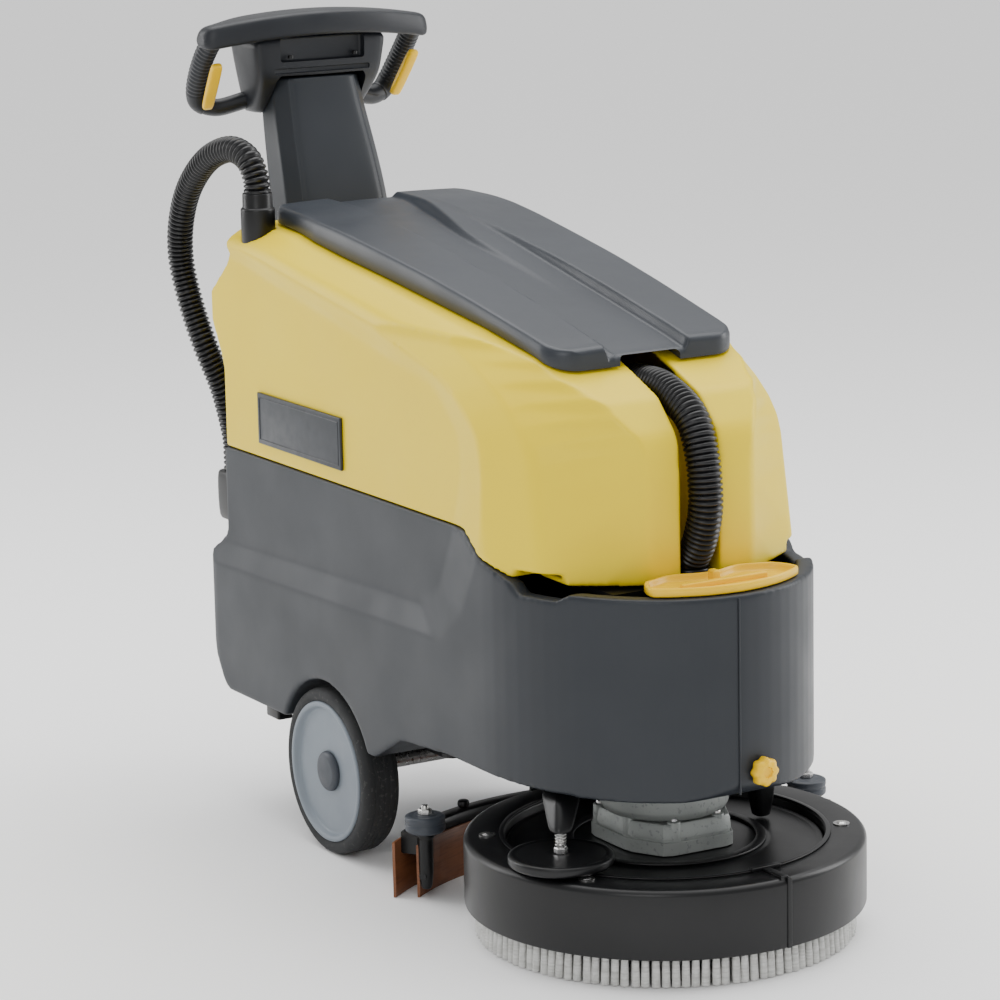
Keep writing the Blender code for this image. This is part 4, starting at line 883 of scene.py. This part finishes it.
def squeegee():
    """The carrier with its clamp strip and knobs, both blades, end rollers on posts, and the swinging arm."""
    r, half, thick = 0.334, math.radians(51.0), 0.0035
    carrier = band("carrier_skin", r - 0.0115, r + 0.0105, half, 0.0520, 0.0800, bevel=0.0015)
    finish(carrier, "black_plastic", "squeegee", "squeegee_carrier", sharp=50.0)
    front = band("front_blade_skin", r - 0.0125 - thick, r - 0.0125, half + 0.02, 0.0, 0.0660, wave=0.0004)
    finish(front, "blade_rubber", "squeegee", "front_blade", sharp=50.0)
    rear = band("rear_blade_skin", r + 0.0113, r + 0.0113 + thick, half + 0.05, 0.0, 0.0700, wave=0.0004)
    finish(rear, "blade_rubber", "squeegee", "rear_blade", sharp=50.0)
    strap = band("rear_clamp_strip", r + 0.0149, r + 0.0163, half + 0.035, 0.0540, 0.0640, bevel=0.0004)
    finish(strap, "steel", "squeegee", sharp=50.0)
    for n in range(7):
        turn = math.pi + (half - 0.08) * (n / 3 - 1)
        knob = softened([(0.0, 0.0905), (0.0060, 0.0905), (0.0075, 0.0880), (0.0075, 0.0830),
                         (0.0050, 0.0803),
                         (0.0, 0.0803)], 0.0010)
        at = swung(((r - 0.001) * math.cos(turn), (r - 0.001) * math.sin(turn), 0))
        if abs(n - 3) > 1:
            finish(lathe(f"blade_knob_{n + 1}", knob, at, 24), "black_plastic", "squeegee")
    for side, word in SIDES:
        turn = math.pi - side * (half + 0.02)
        at = swung((0.3085 * math.cos(turn), 0.3085 * math.sin(turn), 0))
        roller = softened([(0.0058, 0.1070), (0.0120, 0.1070), (0.0140, 0.1060), (0.0200, 0.1064),
                           (0.0245, 0.1045),
                           (0.0245, 0.0985), (0.0232, 0.0966), (0.0245, 0.0947), (0.0245, 0.0880),
                           (0.0215, 0.0850),
                           (0.0058, 0.0850)], 0.0008)
        name = f"end_roller_{word}"
        finish(lathe(f"{name}_skin", roller, at, 64), "wheel_grey", name, name, sharp=60.0, look="hub_cap")
        nut = [(0.0, 0.1135), (0.0075, 0.1135), (0.0085, 0.1125), (0.0085, 0.1075), (0.0, 0.1075)]
        finish(lathe(f"roller_nut_{word}", nut, at, 6), "steel", "squeegee", f"roller_stud_{word}")
        end = [(0.0, 0.1180), (0.0038, 0.1180), (0.0046, 0.1170), (0.0046, 0.1075), (0.0, 0.1075)]
        finish(lathe(f"roller_thread_{word}", end, at, 24), "steel", "squeegee")
        post = softened([(0.0, 0.0846), (0.0115, 0.0846), (0.0115, 0.0790), (0.0092, 0.0760),
                         (0.0088, 0.0330),
                         (0.0072, 0.0180), (0.0055, 0.0130), (0.0, 0.0130)], 0.0010)
        finish(lathe(f"post_{word}", post, at, 40), "black_plastic", "squeegee", f"end_post_{word}",
               sharp=60.0)
        stub = lathe(f"post_screw_{word}",
                     [(0.0, 0.0), (0.0045, 0.0), (0.0052, 0.0012), (0.0052, 0.0085), (0.0, 0.0085)],
                     Vector(), 24)
        facing = Matrix.Rotation(turn + SWING - side * math.radians(80), 4,
                                 "Z") @ Matrix.Rotation(math.pi / 2, 4, "Y")
        stub.data.transform(Matrix.Translation(at + Vector((0, 0, 0.030))) @ facing)
        finish(stub, "black_plastic", "squeegee")
    ring = softened([(0.1070, 0.1104), (0.1200, 0.1104), (0.1200, 0.1132), (0.1070, 0.1132)], 0.0008)
    finish(lathe("swing_ring", ring, place(0), 96), "frame_paint", "squeegee", "swing_arm", sharp=60.0)
    arm = block("swing_bar", (-0.3440, -0.0175, 0.1145), (-0.1150, 0.0175, 0.1215), 0.0022)
    arm.data.transform(Matrix.Translation(ORIGIN) @ Matrix.Rotation(SWING, 4,
                                                                    "Z") @ Matrix.Translation(-ORIGIN))
    finish(arm, "frame_paint", "squeegee")
    post = softened([(0.0, 0.1300), (0.0100, 0.1300), (0.0125, 0.1270), (0.0125, 0.1225), (0.0090, 0.1210),
                     (0.0090, 0.0803), (0.0, 0.0803)], 0.0010)
    finish(lathe("swing_post", post, swung((-0.334, 0, 0)), 40), "frame_paint", "squeegee", sharp=60.0)


# ---- remaining CAD nodes, stage, light and camera ----------------------------------------------------------

def valve():
    """The star knob on the nose, fluted and slightly domed."""
    yaw = 0.10
    sections = []
    for x, scale in ((0.0, 0.90), (0.0010, 1.0), (0.0085, 1.0), (0.0112, 0.93), (0.0128, 0.70),
                     (0.0128, 0.40),
                     (0.0105, 0.34), (0.0105, 0.20)):
        ring = []
        for k in range(64):
            a = 2 * math.pi * k / 64
            radius = (0.0162 + 0.0012 * math.cos(8 * a)) * scale
            ring.append((x, radius * math.cos(a), radius * math.sin(a)))
        sections.append(ring)
    turn = Matrix.Translation(place(0.1760, 0.018, 0.229)) @ Matrix.Rotation(yaw, 4, "Z")
    sections = [[turn @ Vector(p) for p in ring] for ring in sections]
    finish(loft("valve_star", sections, 0), "yellow_control", "valve", "valve_knob", sharp=60.0)


def carried_over():
    """CAD nodes that stay as they are get their procedural material."""
    slots = {entry["node"]: entry["material_slot"] for entry in frame["record"]["subparts"]}
    for name, node in NODES.items():
        if not node.hide_render and slots[name] in MATERIALS:
            node.data.materials.clear()
            node.data.materials.append(MATERIALS[slots[name]])


def studio_floor():
    """A pale floor, wide enough to fill every view that looks down on the machine."""
    bm = bmesh.new()
    rings = [[bm.verts.new((r * math.cos(a), r * math.sin(a), -0.0002))
              for a in (2 * math.pi * k / 64 for k in range(64))] for r in (2.0, 6.0, 18.0, 60.0)]
    bm.faces.new(rings[0])
    for inner, outer in zip(rings, rings[1:]):
        for k in range(64):
            bm.faces.new((inner[k], outer[k], outer[(k + 1) % 64], inner[(k + 1) % 64]))
    mesh = bpy.data.meshes.new("studio_floor")
    bm.to_mesh(mesh)
    bm.free()
    floor = link("studio_floor", mesh)
    paint = bpy.data.materials.new("studio_white")
    paint.use_nodes = True
    shader = paint.node_tree.nodes["Principled BSDF"]
    shader.inputs["Base Color"].default_value = (0.95, 0.95, 0.95, 1.0)
    shader.inputs["Roughness"].default_value = 0.85
    floor.data.materials.append(paint)


def lamp(name, at, towards, size, power, colour=(1.0, 1.0, 1.0)):
    data = bpy.data.lights.new(name, "AREA")
    data.shape = "RECTANGLE"
    data.size, data.size_y = size
    data.energy = power
    data.color = colour
    obj = bpy.data.objects.new(name, data)
    obj.location = at
    obj.rotation_euler = (Vector(towards) - Vector(at)).to_track_quat("-Z", "Y").to_euler()
    bpy.context.scene.collection.objects.link(obj)


def lights():
    centre = (0.0, 0.0, 0.5)
    lamp("overhead", (-0.3, 0.3, 3.2), centre, (3.4, 2.6), 75.0)
    lamp("left_edge", (-2.8, -2.2, 1.7), centre, (1.4, 2.4), 55.0)
    lamp("right_edge", (1.0, 3.3, 1.7), centre, (1.4, 2.4), 75.0)
    lamp("camera_side", (3.2, -3.0, 2.4), centre, (2.0, 2.0), 45.0)
    sky = bpy.data.objects.new("soft_sun", bpy.data.lights.new("soft_sun", "SUN"))
    sky.data.energy, sky.data.angle = 1.7, math.radians(80)
    sky.rotation_euler = (math.radians(-12), math.radians(-10), 0.0)
    bpy.context.scene.collection.objects.link(sky)
    world = bpy.data.worlds.new("studio_air")
    world.use_nodes = True
    world.node_tree.nodes["Background"].inputs["Color"].default_value = (1.0, 1.0, 1.0, 1.0)
    world.node_tree.nodes["Background"].inputs["Strength"].default_value = 0.62
    bpy.context.scene.world = world


def camera():
    """The photograph's viewpoint: from the right front, a little above the lid, with a long lens."""
    right = Vector((0.50971698, 0.86011235, -0.01988336))
    up = Vector((-0.1687649, 0.12262147, 0.97799917))
    back = right.cross(up)
    data = bpy.data.cameras.new("camera")
    data.lens, data.sensor_width = 135.963, 36.0
    data.clip_start, data.clip_end = 0.1, 60.0
    obj = bpy.data.objects.new("camera", data)
    turn = Matrix((right, up, back)).transposed().to_4x4()
    obj.matrix_world = Matrix.Translation(place(3.5833, -2.3183, 1.4232)) @ turn
    bpy.context.scene.collection.objects.link(obj)
    bpy.context.scene.camera = obj


camera()
tanks()
body_seams()
lid()
badge()
filler_cap()
hoses()
column()
handle_bar()
head()
for side, word in SIDES:
    grip(side, word)
    trigger(side, word)
panel()
wheels()
underside()
deck()
bristles()
drive()
wall_roller()
squeegee()
valve()
carried_over()
studio_floor()
lights()
